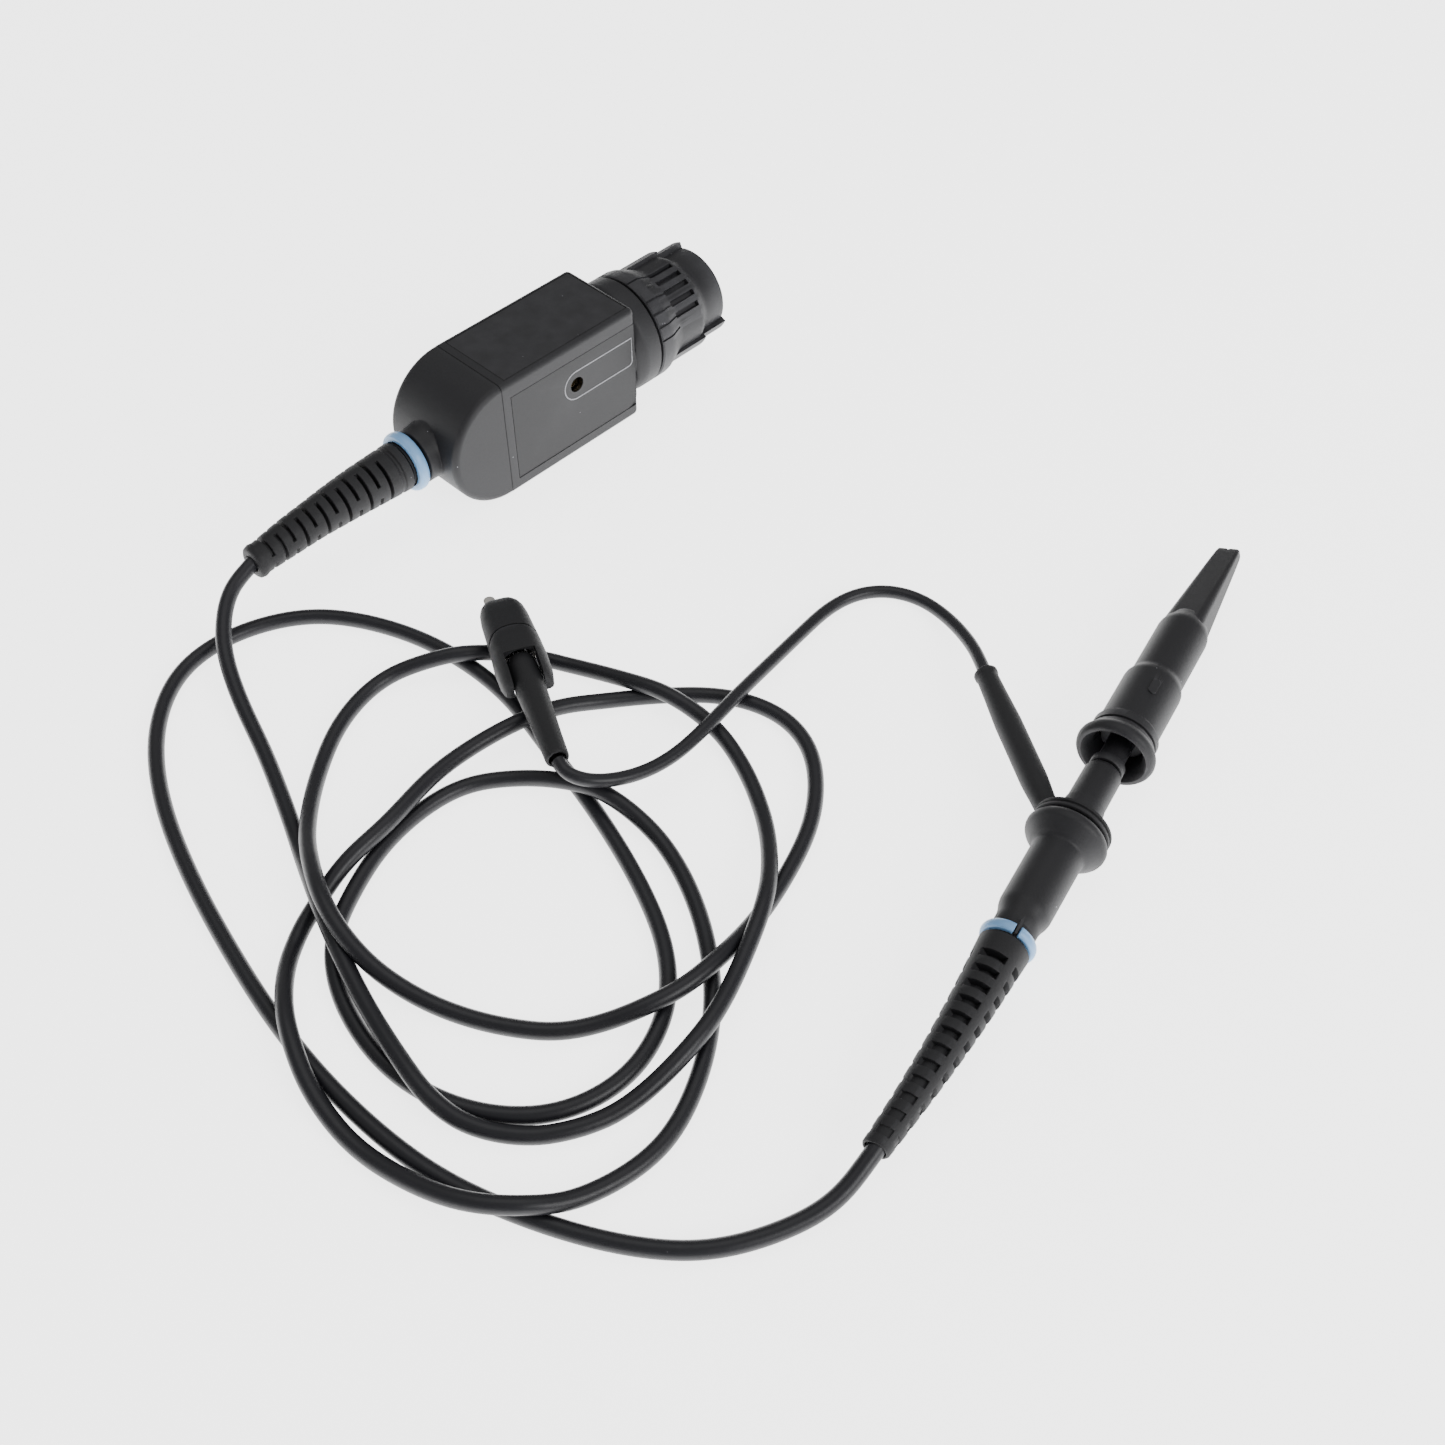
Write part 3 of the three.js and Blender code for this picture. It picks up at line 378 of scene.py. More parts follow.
charcoal_plastic = moulding(
    "charcoal_plastic", (0.0125, 0.0125, 0.0145), (0.05, 0.05, 0.055), 0.50, 5200, 0.00003, 0.05,
)
label_plastic = moulding(
    "label_plastic", (0.0105, 0.0105, 0.012), (0.04, 0.04, 0.044), 0.52, 7000, 0.00002, 0.04,
)
charcoal_rubber = moulding(
    "charcoal_rubber", (0.011, 0.011, 0.0125), (0.026, 0.026, 0.029), 0.58, 4200, 0.00004, 0.05,
)
vinyl_jacket = moulding(
    "vinyl_jacket", (0.010, 0.010, 0.013), (0.03, 0.03, 0.034), 0.38, 1600, 0.00002, 0.02, 25.0,
)


def finished(piece, material):
    """Gives a piece its one material."""
    piece.data.materials.clear()
    piece.data.materials.append(material)


for jacketed in (probe_cable, ground_lead, nodes["cable_end_box"], nodes["cable_end_probe"]):
    finished(jacketed, vinyl_jacket)

# ---- compensation box: housing ------------------------------------------------------------------
# The box's main half, injection moulded with its round shoulder for the connector. Its long edges
# are rounded, its top and near side are recessed for label plates, and a hole reaches the trimmer.
MM = 0.001


def axes_at(place, along):
    """Places millimetres measured from a point along a level direction into the frame."""
    x = Vector(along).normalized()
    z = Vector((0, 0, 1))
    y = z.cross(x)
    turn = Matrix((x, y, z)).transposed().to_4x4()
    return Matrix.Translation(place) @ turn @ Matrix.Scale(MM, 4)


ring_axis = Vector(joints["locking_ring_turn"]["axis"])
ring_place = Vector(joints["locking_ring_turn"]["pos_m"])
box_axes = axes_at(ring_place - ring_axis * 50 * MM, ring_axis)
BOX_SIZE = (36.2, 20.2, 27.2)
BOX_EDGE = 1.25
COLLAR = (12.1, 41.8)
SEAM_GAP = 0.06


def solid(name, mesh, axes=None):
    """Turns finished mesh work into a scene object, moved from its own axes into the frame."""
    bmesh.ops.recalc_face_normals(mesh, faces=mesh.faces)
    data = bpy.data.meshes.new(name)
    if axes is not None:
        mesh.transform(axes)
    mesh.to_mesh(data)
    mesh.free()
    return link(bpy.data.objects.new(name, data))


def lofted(sections, closed=False):
    """A skin through sections of equally many points, capped at both ends unless closed."""
    mesh = bmesh.new()
    rings = [[mesh.verts.new(point) for point in section] for section in sections]
    pairs = list(zip(rings, rings[1:]))
    if closed:
        pairs.append((rings[-1], rings[0]))
    count = len(rings[0])
    for near, far in pairs:
        for k in range(count):
            n = (k + 1) % count
            mesh.faces.new((near[k], near[n], far[n], far[k]))
    if not closed:
        mesh.faces.new(list(reversed(rings[0])))
        mesh.faces.new(rings[-1])
    return mesh


def turned(profile, sides=96):
    """A turned body about X from (x, radius) pairs; closed to a ring where it has a bore."""
    on_axis = profile[0][1] == 0 and profile[-1][1] == 0
    inner = profile[1:-1] if on_axis else profile
    turns = [2 * math.pi * k / sides for k in range(sides)]
    sections = [[(x, r * math.cos(t), r * math.sin(t)) for t in turns] for x, r in inner]
    return lofted(sections, closed=not on_axis)


def arc(centre, radius, start, end, steps):
    """Points of an arc, in degrees, in the plane of a profile."""
    turns = [math.radians(start + (end - start) * k / steps) for k in range(steps + 1)]
    return [(centre[0] + radius * math.cos(t), centre[1] + radius * math.sin(t)) for t in turns]


def rounded(width, height, radius, steps=6):
    """Outline of a rounded rectangle round (0, 0)."""
    w, h = width / 2 - radius, height / 2 - radius
    outline = []
    for corner, start in (((w, h), 0), ((-w, h), 90), ((-w, -h), 180), ((w, -h), 270)):
        outline += arc(corner, radius, start, start + 90, steps)
    return outline


def slab(low, high):
    """A plain block between two corners, to cut with or to build on."""
    mesh = bmesh.new()
    bmesh.ops.create_cube(mesh, size=1)
    for vert in mesh.verts:
        for axis in range(3):
            vert.co[axis] = high[axis] if vert.co[axis] > 0 else low[axis]
    return mesh


def segment(start, end, inner, outer, centre, span, steps=10):
    """Part of a thick ring about X: angles in degrees, measured from +Y towards +Z."""
    turns = [math.radians(centre - span / 2 + span * k / steps) for k in range(steps + 1)]
    sections = []
    for t in turns:
        corners = ((start, inner), (end, inner), (end, outer), (start, outer))
        sections.append([(x, r * math.cos(t), r * math.sin(t)) for x, r in corners])
    return lofted(sections)


def settle(piece):
    """Makes a piece's modifiers part of its mesh."""
    bpy.context.view_layer.update()
    shaped = piece.evaluated_get(bpy.context.evaluated_depsgraph_get())
    made = bpy.data.meshes.new_from_object(shaped)
    piece.modifiers.clear()
    old = piece.data
    piece.data = made
    bpy.data.meshes.remove(old)


def worked(piece, others, operation="DIFFERENCE"):
    """Cuts other bodies out of a piece, or joins them on."""
    for other in others:
        step = piece.modifiers.new("work", "BOOLEAN")
        step.operation = operation
        step.solver = "EXACT"
        step.object = other
    settle(piece)
    for other in others:
        bpy.data.objects.remove(other)


def cut_out(piece, axes, *meshes):
    """Cuts meshes in a piece's own axes out of it, one after another."""
    worked(piece, [solid("cut", mesh, axes) for mesh in meshes])


def joined_on(piece, axes, *meshes):
    """Joins meshes in a piece's own axes on to it, one after another."""
    worked(piece, [solid("addition", mesh, axes) for mesh in meshes], "UNION")


def merged(name, meshes, axes):
    """One object from several bodies that don't touch, to cut with in a single step."""
    whole = bmesh.new()
    for mesh in meshes:
        bmesh.ops.recalc_face_normals(mesh, faces=mesh.faces)
        data = bpy.data.meshes.new("scrap")
        mesh.to_mesh(data)
        mesh.free()
        whole.from_mesh(data)
        bpy.data.meshes.remove(data)
    whole.transform(axes)
    data = bpy.data.meshes.new(name)
    whole.to_mesh(data)
    whole.free()
    return link(bpy.data.objects.new(name, data))


def softened(piece, width, segments=2, angle=32):
    """Rounds a moulding's sharp edges and shades it smooth."""
    if width:
        welded = piece.modifiers.new("weld", "WELD")
        welded.merge_threshold = 0.000004
        edge = piece.modifiers.new("edges", "BEVEL")
        edge.width = width * MM
        edge.segments = segments
        edge.limit_method = "ANGLE"
        edge.angle_limit = math.radians(angle)
        edge.miter_outer = "MITER_ARC"
        settle(piece)
    piece.data.shade_smooth()
    piece.data.set_sharp_from_angle(angle=math.radians(50))
    even = piece.modifiers.new("even", "WEIGHTED_NORMAL")
    even.keep_sharp = True
    even.weight = 60


def fitted(piece, body, node, material):
    """Rides a piece on its body in place of a CAD node, with its finish."""
    finished(piece, material)
    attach(piece, body)
    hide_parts(node)


length, width, height = BOX_SIZE
END_ROUND = 1.2
front_round = arc((length - END_ROUND, 0), END_ROUND, 90, 0, 6)
stations = [(SEAM_GAP, 0.12), (SEAM_GAP + 0.12, 0)] + [(x, END_ROUND - r) for x, r in front_round]
sections = []
for x, inset in stations:
    outline = rounded(width - 2 * inset, height - 2 * inset, BOX_EDGE - inset * 0.6)
    sections.append([(x, y, z) for y, z in outline])
box_housing = solid("box_housing", lofted(sections), box_axes)
collar_radius, collar_end = COLLAR
shoulder = [
    (length - 1, 0), (length - 1, 9.9), (length - 0.1, 10.1), (length + 0.3, 10.9), (length + 1.2, 11.7),
    (length + 2.0, collar_radius), (collar_end - 0.3, collar_radius), (collar_end, collar_radius - 0.3),
    (collar_end, 0),
]
joined_on(box_housing, box_axes, turned(shoulder))
TRIMMER_AT = (19.4, 3.5)
SIDE_PLATE = (2.2, 35.7, -10.6, 9.9)
TOP_PLATE = (2.0, 35.0, 8.7)
RECESS = 0.35
PLATE_GAP = 0.12


def trimmer_hole(radius):
    """A rod square to the near side, over the trimmer."""
    rod = turned([(-1, 0), (-1, radius), (4, radius), (4, 0)], 48)
    centre = Matrix.Translation((TRIMMER_AT[0], -width / 2, TRIMMER_AT[1]))
    rod.transform(centre @ Matrix.Rotation(math.pi / 2, 4, "Z"))
    return rod


x0, x1, z0, z1 = SIDE_PLATE
xa, xb, half = TOP_PLATE
cut_out(
    box_housing, box_axes,
    slab((-1, -8.5, -12), (34.6, 8.5, 12)),
    turned([(30, 0), (30, 5.2), (44, 5.2), (44, 0)], 48),
    slab(
        (x0 - PLATE_GAP, -width / 2 - 1, z0 - PLATE_GAP),
        (x1 + PLATE_GAP, -width / 2 + RECESS, z1 + PLATE_GAP),
    ),
    slab(
        (xa - PLATE_GAP, -half - PLATE_GAP, height / 2 - RECESS),
        (xb + PLATE_GAP, half + PLATE_GAP, 15),
    ),
    trimmer_hole(2.3),
)
softened(box_housing, 0.1, 2, 40)
fitted(box_housing, "probe_set", "comp_box_shell", charcoal_plastic)

# ---- compensation box: nose ---------------------------------------------------------------------
# The rounded rear half, glued to the housing along a fine seam. It is a half oval seen from the
# side, with softly rounded side edges, and flares out of a round neck that carries the cable.
NOSE_REACH = 13.4
NOSE_EDGE = 1.35


def nose_outline(inset, steps=40):
    """Half an oval seen from the side, drawn in by an inset."""
    outline = []
    reach, half_height = NOSE_REACH - inset, height / 2 - inset
    for k in range(steps + 1):
        turn = math.radians(90 + 180 * k / steps)
        outline.append((-SEAM_GAP + reach * math.cos(turn), half_height * math.sin(turn)))
    return outline


sections = []
for side, quarter in ((1, range(0, 7)), (-1, range(6, -1, -1))):
    for k in quarter:
        turn = math.radians(15 * k)
        y = -side * (width / 2 - NOSE_EDGE * (1 - math.cos(turn)))
        sections.append([(x, y, z) for x, z in nose_outline(NOSE_EDGE * (1 - math.sin(turn)))])
box_nose = solid("box_nose", lofted(sections), box_axes)
neck = [
    (-19.3, 0), (-19.3, 4.55), (-16.0, 4.6), (-15.8, 5.6), (-15.6, 5.75), (-13.6, 5.75), (-12.8, 5.95),
    (-12.0, 6.4), (-11.2, 7.2), (-10.4, 8.4), (-9.2, 8.4), (-9.2, 0),
]
joined_on(box_nose, box_axes, turned(neck))
cut_out(
    box_nose, box_axes,
    slab((-7.5, -7.5, -9), (1, 7.5, 9)),
    turned([(-21, 0), (-21, 1.8), (-7, 1.8), (-7, 0)], 32),
)
softened(box_nose, 0.14, 2, 40)
fitted(box_nose, "probe_set", "comp_box_nose", charcoal_plastic)

# ---- compensation box: label plates -------------------------------------------------------------
# Two thin plates pressed into the housing's recesses. The side plate has a printed tag outline
# round the trimmer hole; the maker's wording is left off both.


def plate_body(outline, lift):
    """A thin plate with a small bevel on its face, as sections from its back to its face."""
    back, face = lift
    middle = [sum(p[i] for p in outline) / len(outline) for i in (0, 1)]

    def drawn_in(amount):
        """The outline, each point moved towards its middle."""
        out = []
        for a, b in outline:
            da, db = a - middle[0], b - middle[1]
            size = math.hypot(da, db)
            out.append((a - da / size * amount, b - db / size * amount))
        return out

    return [(drawn_in(0), back), (drawn_in(0), face - 0.06), (drawn_in(0.07), face)]


corner = 2.6
side_outline = [(x0, z0)] + arc((x1 - corner, z0 + corner), corner, 270, 360, 10) + [(x1, z1), (x0, z1)]
layers = plate_body(side_outline, (-width / 2 + RECESS - 0.03, -width / 2 + 0.06))
side_mesh = lofted([[(a, y, b) for a, b in outline] for outline, y in layers])
side_plate = solid("side_plate", side_mesh, box_axes)
cut_out(side_plate, box_axes, trimmer_hole(1.7))
softened(side_plate, 0)
fitted(side_plate, "probe_set", "side_label_panel", label_plastic)

top_outline = [(xa, -half), (xb, -half), (xb, half), (xa, half)]
layers = plate_body(top_outline, (height / 2 - RECESS + 0.03, height / 2 - 0.02))
top_mesh = lofted([[(a, b, z) for a, b in outline] for outline, z in layers])
top_plate = solid("top_plate", top_mesh, box_axes)
softened(top_plate, 0)
fitted(top_plate, "probe_set", "top_label_panel", label_plastic)


def printed_ink(name, colour):
    """Screen-printed ink: matte, and thin enough in places to let the plastic darken it."""
    material, tree, shader = blank_material(name)
    shader.inputs["Roughness"].default_value = 0.6
    place = added(tree, "TexCoord")
    thin = added(tree, "TexNoise", {"Scale": 2500})
    band = added(tree, "MapRange", {"From Min": 0.3, "From Max": 0.6})
    mixed = added(tree, "MixRGB", {"Color1": shade(colour, 0.7), "Color2": shade(colour)})
    wired(
        tree,
        (place, "Object", thin, "Vector"),
        (thin, "Fac", band, "Value"),
        (band, "Result", mixed, "Fac"),
        (mixed, "Color", shader, "Base Color"),
    )
    return material


pale_ink = printed_ink("pale_ink", (0.26, 0.26, 0.28))
TAG = {"left": 19.4, "right": 34.9, "low": 0.15, "high": 6.75, "line": 0.27}
middle_z = (TAG["low"] + TAG["high"]) / 2
round_end = (TAG["high"] - TAG["low"]) / 2
tag_line = arc((TAG["left"], middle_z), round_end, 90, 270, 24)
tag_line += arc((TAG["right"] - 1, TAG["low"] + 1), 1.0, 270, 360, 6)
tag_line += [(TAG["right"], TAG["high"])]
ink_back, ink_face = -width / 2 + 0.065, -width / 2 + 0.045
sections = []
for k, (a, b) in enumerate(tag_line):
    back, ahead = tag_line[k - 1], tag_line[(k + 1) % len(tag_line)]
    da, db = ahead[0] - back[0], ahead[1] - back[1]
    size = math.hypot(da, db)
    na, nb = -db / size * TAG["line"] / 2, da / size * TAG["line"] / 2
    inner, outer = (a - na, b - nb), (a + na, b + nb)
    corners = ((inner, ink_back), (outer, ink_back), (outer, ink_face), (inner, ink_face))
    sections.append([(x, y, z) for (x, z), y in corners])
tag_outline = solid("printed_tag_outline", lofted(sections, closed=True), box_axes)
tag_outline.data.materials.append(pale_ink)
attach(tag_outline, "probe_set")

# ---- box marker ring and strain boot ------------------------------------------------------------
# A snap-on pale blue ring marks the channel. The boot is soft rubber moulded over the cable, with
# staggered slots that let it bend, and it sags a little towards its end.


def marker_material():
    """Glossy pale blue nylon that light goes a little way into."""
    material, tree, shader = blank_material("marker_blue")
    shader.inputs["Coat Weight"].default_value = 0.25
    shader.inputs["Coat Roughness"].default_value = 0.3
    shader.inputs["Subsurface Weight"].default_value = 0.15
    shader.inputs["Subsurface Radius"].default_value = (0.0006, 0.0008, 0.001)
    place = added(tree, "TexCoord")
    drift = added(tree, "TexNoise", {"Scale": 350})
    mixed = added(tree, "MixRGB", {"Color1": (0.17, 0.36, 0.62, 1), "Color2": (0.22, 0.42, 0.70, 1)})
    rough = added(tree, "MapRange", {"To Min": 0.34, "To Max": 0.46})
    grain = grouped(tree, GRAIN)
    bump = added(tree, "Bump", {"Distance": 0.00001, "Strength": 0.4})
    wired(
        tree,
        (place, "Object", drift, "Vector"),
        (drift, "Fac", mixed, "Fac"),
        (drift, "Fac", rough, "Value"),
        (mixed, "Color", shader, "Base Color"),
        (rough, "Result", shader, "Roughness"),
        (grain, "Height", bump, "Height"),
        (bump, "Normal", shader, "Normal"),
    )
    return material


marker_blue = marker_material()
CROWN = 0.75
OPENING = 12


def marker_ring(middle, half_width, inner, outer, gap):
    """A ring with a crowned outside; gap is the angle of its opening, or None."""
    edge = outer - CROWN
    profile = [(middle - half_width, inner), (middle - half_width, edge)]
    for angle in range(-80, 81, 16):
        t = math.radians(angle)
        profile.append((middle + half_width * math.sin(t), outer - CROWN * (1 - math.cos(t) ** 0.8)))
    profile += [(middle + half_width, edge), (middle + half_width, inner)]
    if gap is None:
        return turned(profile)
    sections = []
    for k in range(97):
        t = math.radians(gap + OPENING / 2 + (360 - OPENING) * k / 96)
        sections.append([(x, r * math.cos(t), r * math.sin(t)) for x, r in profile])
    return lofted(sections)


box_marker = solid("box_marker", marker_ring(-17.7, 1.2, 4.9, 6.3, None), box_axes)
softened(box_marker, 0.1)
fitted(box_marker, "probe_set", "box_marker_ring", marker_blue)


def bent_piece(piece, axes, start, end, aside, sag):
    """Bends a finished boot in its own axes: its end moves aside and down, as its cable pulls it."""
    mesh = bmesh.new()
    mesh.from_mesh(piece.data)
    mesh.transform(axes.inverted())
    for vert in mesh.verts:
        if vert.co.x < start:
            t = (start - vert.co.x) / (start - end)
            vert.co.y += aside * t * t
            vert.co.z -= sag * t * t
    mesh.transform(axes)
    mesh.to_mesh(piece.data)
    mesh.free()


def filled_in(profile, step):
    """More stations along a profile, so that it can bend."""
    out = [profile[0]]
    for a, b in zip(profile, profile[1:]):
        count = max(1, int(abs(b[0] - a[0]) / step))
        for k in range(1, count + 1):
            t = k / count
            out.append((a[0] + (b[0] - a[0]) * t, a[1] + (b[1] - a[1]) * t))
    return out


boot_profile = [
    (-19.7, 1.8), (-19.7, 5.0), (-19.85, 5.1), (-21.4, 5.05), (-21.6, 4.7), (-22.2, 4.7), (-22.5, 5.0),
    (-29, 4.7), (-35, 4.33), (-41, 3.91), (-47, 3.64), (-53.3, 3.2), (-54.3, 3.42), (-55.1, 3.2),
    (-55.4, 2.8), (-55.4, 1.75), (-37, 1.8),
]
box_boot = solid("box_boot", turned(filled_in(boot_profile, 1.2), 72), box_axes)
slots = []
for station in range(6):
    for half_turn in (0, 180):
        for offset, centre in ((-27.6, 82), (-25.1, 172)):
            x = offset - station * 4.9
            slots.append(segment(x - 0.36, x + 0.36, 2.4, 7, centre + half_turn, 150, 16))
worked(box_boot, [merged("cut", slots, box_axes)])
softened(box_boot, 0.09, 2, 40)
bent_piece(box_boot, box_axes, -28, -55.4, 0, 2.1)
fitted(box_boot, "probe_set", "box_strain_boot", charcoal_rubber)

# ---- locking ring -------------------------------------------------------------------------------
# The moulded grip over the connector's coupling nut: a wide rear rim, two raised finger wings, and
# rows of narrow grooves between them. It turns freely on the connector.
ring_profile = [
    (42.4, 7.6), (42.4, 11.8), (42.7, 12.1), (45.0, 12.08), (45.9, 11.9), (46.8, 11.5), (47.8, 11.1),
    (48.9, 10.62), (50.0, 10.4), (55.5, 10.4), (56.3, 10.2), (57.0, 9.8), (57.7, 9.4), (58.4, 9.3),
    (63.2, 9.25), (63.5, 8.95), (63.5, 7.9), (63.2, 7.6),
]
locking_grip = solid("locking_grip", turned(ring_profile, 120), box_axes)
wings = []
for centre in (45, 225):
    wings.append(segment(47.6, 56.8, 9, 11.2, centre, 44, 16))
    wings.append(segment(56.6, 63.6, 8.5, 10.4, centre, 44, 16))
joined_on(locking_grip, box_axes, *wings)


def sloped_groove(centre):
    """The narrow line that runs from the rear rim down the slope into a groove."""
    turns = [math.radians(centre + lean) for lean in (-1.1, 0, 1.1)]
    corners = ((42.2, 11.75), (45.3, 11.7), (48.9, 10.25), (48.9, 13), (42.2, 13))
    return lofted([[(x, r * math.cos(t), r * math.sin(t)) for x, r in corners] for t in turns])


groove_centres = [middle + (k - 2.5) * 14 for middle in (132, 312) for k in range(6)]
wide_grooves = [segment(48.6, 55.5, 9.3, 13, centre, 6.6, 3) for centre in groove_centres]
worked(locking_grip, [merged("cut", wide_grooves, box_axes)])
worked(locking_grip, [merged("cut", [sloped_groove(centre) for centre in groove_centres], box_axes)])
softened(locking_grip, 0.09, 2, 45)
fitted(locking_grip, "locking_ring", "bnc_locking_ring", charcoal_plastic)

# ---- connector metalwork ------------------------------------------------------------------------
# Nickel-plated brass: the coupling nut with its two bayonet ramps inside the grip, and the contact
# sleeve, insulator and gold pin behind it, pressed into the box's shoulder.


def plated(name, colour, rough):
    """Plated metal: a faint bump, cloudy roughness and slightly dull patches."""
    material, tree, shader = blank_material(name)
    shader.inputs["Metallic"].default_value = 1
    place = added(tree, "TexCoord")
    cloud = added(tree, "TexNoise", {"Scale": 400, "Detail": 6})
    band = added(tree, "MapRange", {"To Min": rough - 0.08, "To Max": rough + 0.12})
    mixed = added(tree, "MixRGB", {"Color1": shade(colour, 0.8), "Color2": shade(colour)})
    bump = added(tree, "Bump", {"Distance": 0.00001, "Strength": 0.3})
    wired(
        tree,
        (place, "Object", cloud, "Vector"),
        (cloud, "Fac", band, "Value"),
        (cloud, "Fac", mixed, "Fac"),
        (mixed, "Color", shader, "Base Color"),
        (band, "Result", shader, "Roughness"),
        (cloud, "Fac", bump, "Height"),
        (bump, "Normal", shader, "Normal"),
    )
    return material


nickel = plated("nickel_plate", (0.72, 0.70, 0.66), 0.28)
gold = plated("gold_flash", (0.83, 0.62, 0.28), 0.25)
nut_profile = [
    (46.2, 4.7), (46.2, 7.3), (62.6, 7.3), (62.9, 7.0), (62.9, 5.2), (62.7, 5.0), (47.4, 5.0), (47.4, 4.7),
]
coupling_nut = solid("coupling_nut", turned(nut_profile, 72), box_axes)
ramps = [segment(50.5, 53.0, 4.4, 6.8, angle, 70, 16) for angle in (45, 225)]
ramps += [segment(50.6, 64, 4.4, 6.4, angle, 24, 8) for angle in (20, 200)]
cut_out(coupling_nut, box_axes, *ramps)
softened(coupling_nut, 0.08)
fitted(coupling_nut, "locking_ring", "bnc_coupling_nut", nickel)

contact_profile = [
    (33.2, 4.0), (33.2, 4.9), (43.0, 4.9), (43.0, 6.6), (44.2, 6.6), (44.2, 4.1), (60.3, 4.1), (60.5, 3.9),
    (60.5, 3.4), (60.3, 3.3), (45.0, 3.3), (45.0, 1.6), (34.5, 1.6), (34.5, 4.0),
]
contact_sleeve = solid("contact_sleeve", turned(contact_profile, 72), box_axes)
splits = [segment(52, 61, 2.5, 5, angle, 6, 1) for angle in (0, 90, 180, 270)]
worked(contact_sleeve, [merged("cut", splits, box_axes)])
softened(contact_sleeve, 0.06)
fitted(contact_sleeve, "probe_set", "bnc_contact_body", nickel)

pin_profile = [(33.4, 0), (33.4, 0.7), (57.0, 0.7), (57.9, 0.62), (58.4, 0.42), (58.6, 0.2), (58.6, 0)]
centre_pin = solid("centre_pin", turned(pin_profile, 40), box_axes)
softened(centre_pin, 0)
fitted(centre_pin, "probe_set", "bnc_centre_pin", gold)

natural_plastic = moulding(
    "natural_white_plastic", (0.72, 0.71, 0.67), (0.85, 0.85, 0.82), 0.42, 3000, 0.00001, 0.0,
)
insulator_profile = [(45.3, 1.0), (45.3, 2.9), (52.8, 2.9), (53.0, 2.7), (53.0, 1.2), (52.8, 1.0)]
insulator = solid("connector_insulator", turned(insulator_profile, 56), box_axes)
softened(insulator, 0)
fitted(insulator, "probe_set", "bnc_insulator", natural_plastic)
gasket_profile = [(44.5, 4.4), (44.5, 6.0), (44.8, 6.3), (45.6, 6.3), (45.9, 6.0), (45.9, 4.4)]
gasket = solid("connector_gasket", turned(gasket_profile, 56), box_axes)
softened(gasket, 0)
fitted(gasket, "probe_set", "bnc_gasket", charcoal_rubber)

# ---- probe head: strain boot, marker ring and barrels -------------------------------------------
# The cable runs into a long tapered rubber boot with rows of small windows. The barrel is a turned
# moulding with a finger guard, and a narrower barrel in front of it carries the collar and the hook.
head_axis = Vector(joints["ground_collar_swivel"]["axis"])
head_axes = axes_at(Vector(joints["ground_collar_swivel"]["pos_m"]) + head_axis * 19.05 * MM, head_axis)

head_boot_profile = [
    (-46.5, 1.8), (-46.5, 4.2), (-46.7, 4.4), (-54, 4.0), (-66, 3.35), (-78, 2.7), (-86.7, 2.3), (-87, 2.1),
    (-87, 1.8),
]
head_boot = solid("head_boot", turned(filled_in(head_boot_profile, 1.2), 64), head_axes)
windows = []
for station in range(12):
    x = -51.1 - station * 3.06
    for row in (87, 177, 267, 357):
        windows.append(segment(x - 0.72, x + 0.72, 2.35 - station * 0.02, 7, row, 64, 6))
worked(head_boot, [merged("cut", windows, head_axes)])
softened(head_boot, 0.08, 2, 40)
bent_piece(head_boot, head_axes, -54, -87, 2.2, 2.4)
fitted(head_boot, "probe_set", "probe_strain_boot", charcoal_rubber)

head_marker = solid("head_marker", marker_ring(-45.1, 0.95, 3.7, 4.85, 105), head_axes)
softened(head_marker, 0.1)
fitted(head_marker, "probe_set", "probe_marker_ring", marker_blue)

barrel_profile = [
    (-46.2, 2.6), (-46.2, 3.4), (-46.0, 3.6), (-43.2, 3.6), (-43.0, 3.75), (-41.2, 3.8), (-40.2, 4.0),
    (-39.2, 4.35), (-38.2, 4.52), (-25.3, 4.56), (-25.0, 4.6), (-24.7, 4.8), (-24.4, 5.15), (-24.2, 5.4),
    (-22.6, 6.85), (-22.2, 7.1), (-21.8, 7.22), (-21.3, 7.24), (-20.9, 7.1), (-20.5, 6.8), (-20.3, 6.4),
    (-20.3, 3.9), (-38.4, 3.9), (-39.6, 2.9), (-39.6, 2.6),
]
head_barrel = solid("head_barrel", turned(barrel_profile), head_axes)
key = slab((-46.0, -0.22, 3.2), (-43.1, 0.22, 4.6))
key.transform(Matrix.Rotation(math.radians(15), 4, "X"))
joined_on(head_barrel, head_axes, key)
softened(head_barrel, 0.08, 2, 45)
fitted(head_barrel, "probe_set", "probe_barrel", charcoal_plastic)

front_profile = [
    (-38.0, 2.9), (-38.0, 3.6), (-13.5, 3.6), (-13.2, 3.45), (-5.6, 3.4), (-5.0, 3.2), (-4.6, 2.8),
    (-4.6, 2.2), (-8.0, 2.2), (-8.0, 2.9),
]
front_tube = solid("front_tube", turned(front_profile, 72), head_axes)
softened(front_tube, 0.08, 2, 40)
fitted(front_tube, "probe_set", "front_barrel", charcoal_plastic)

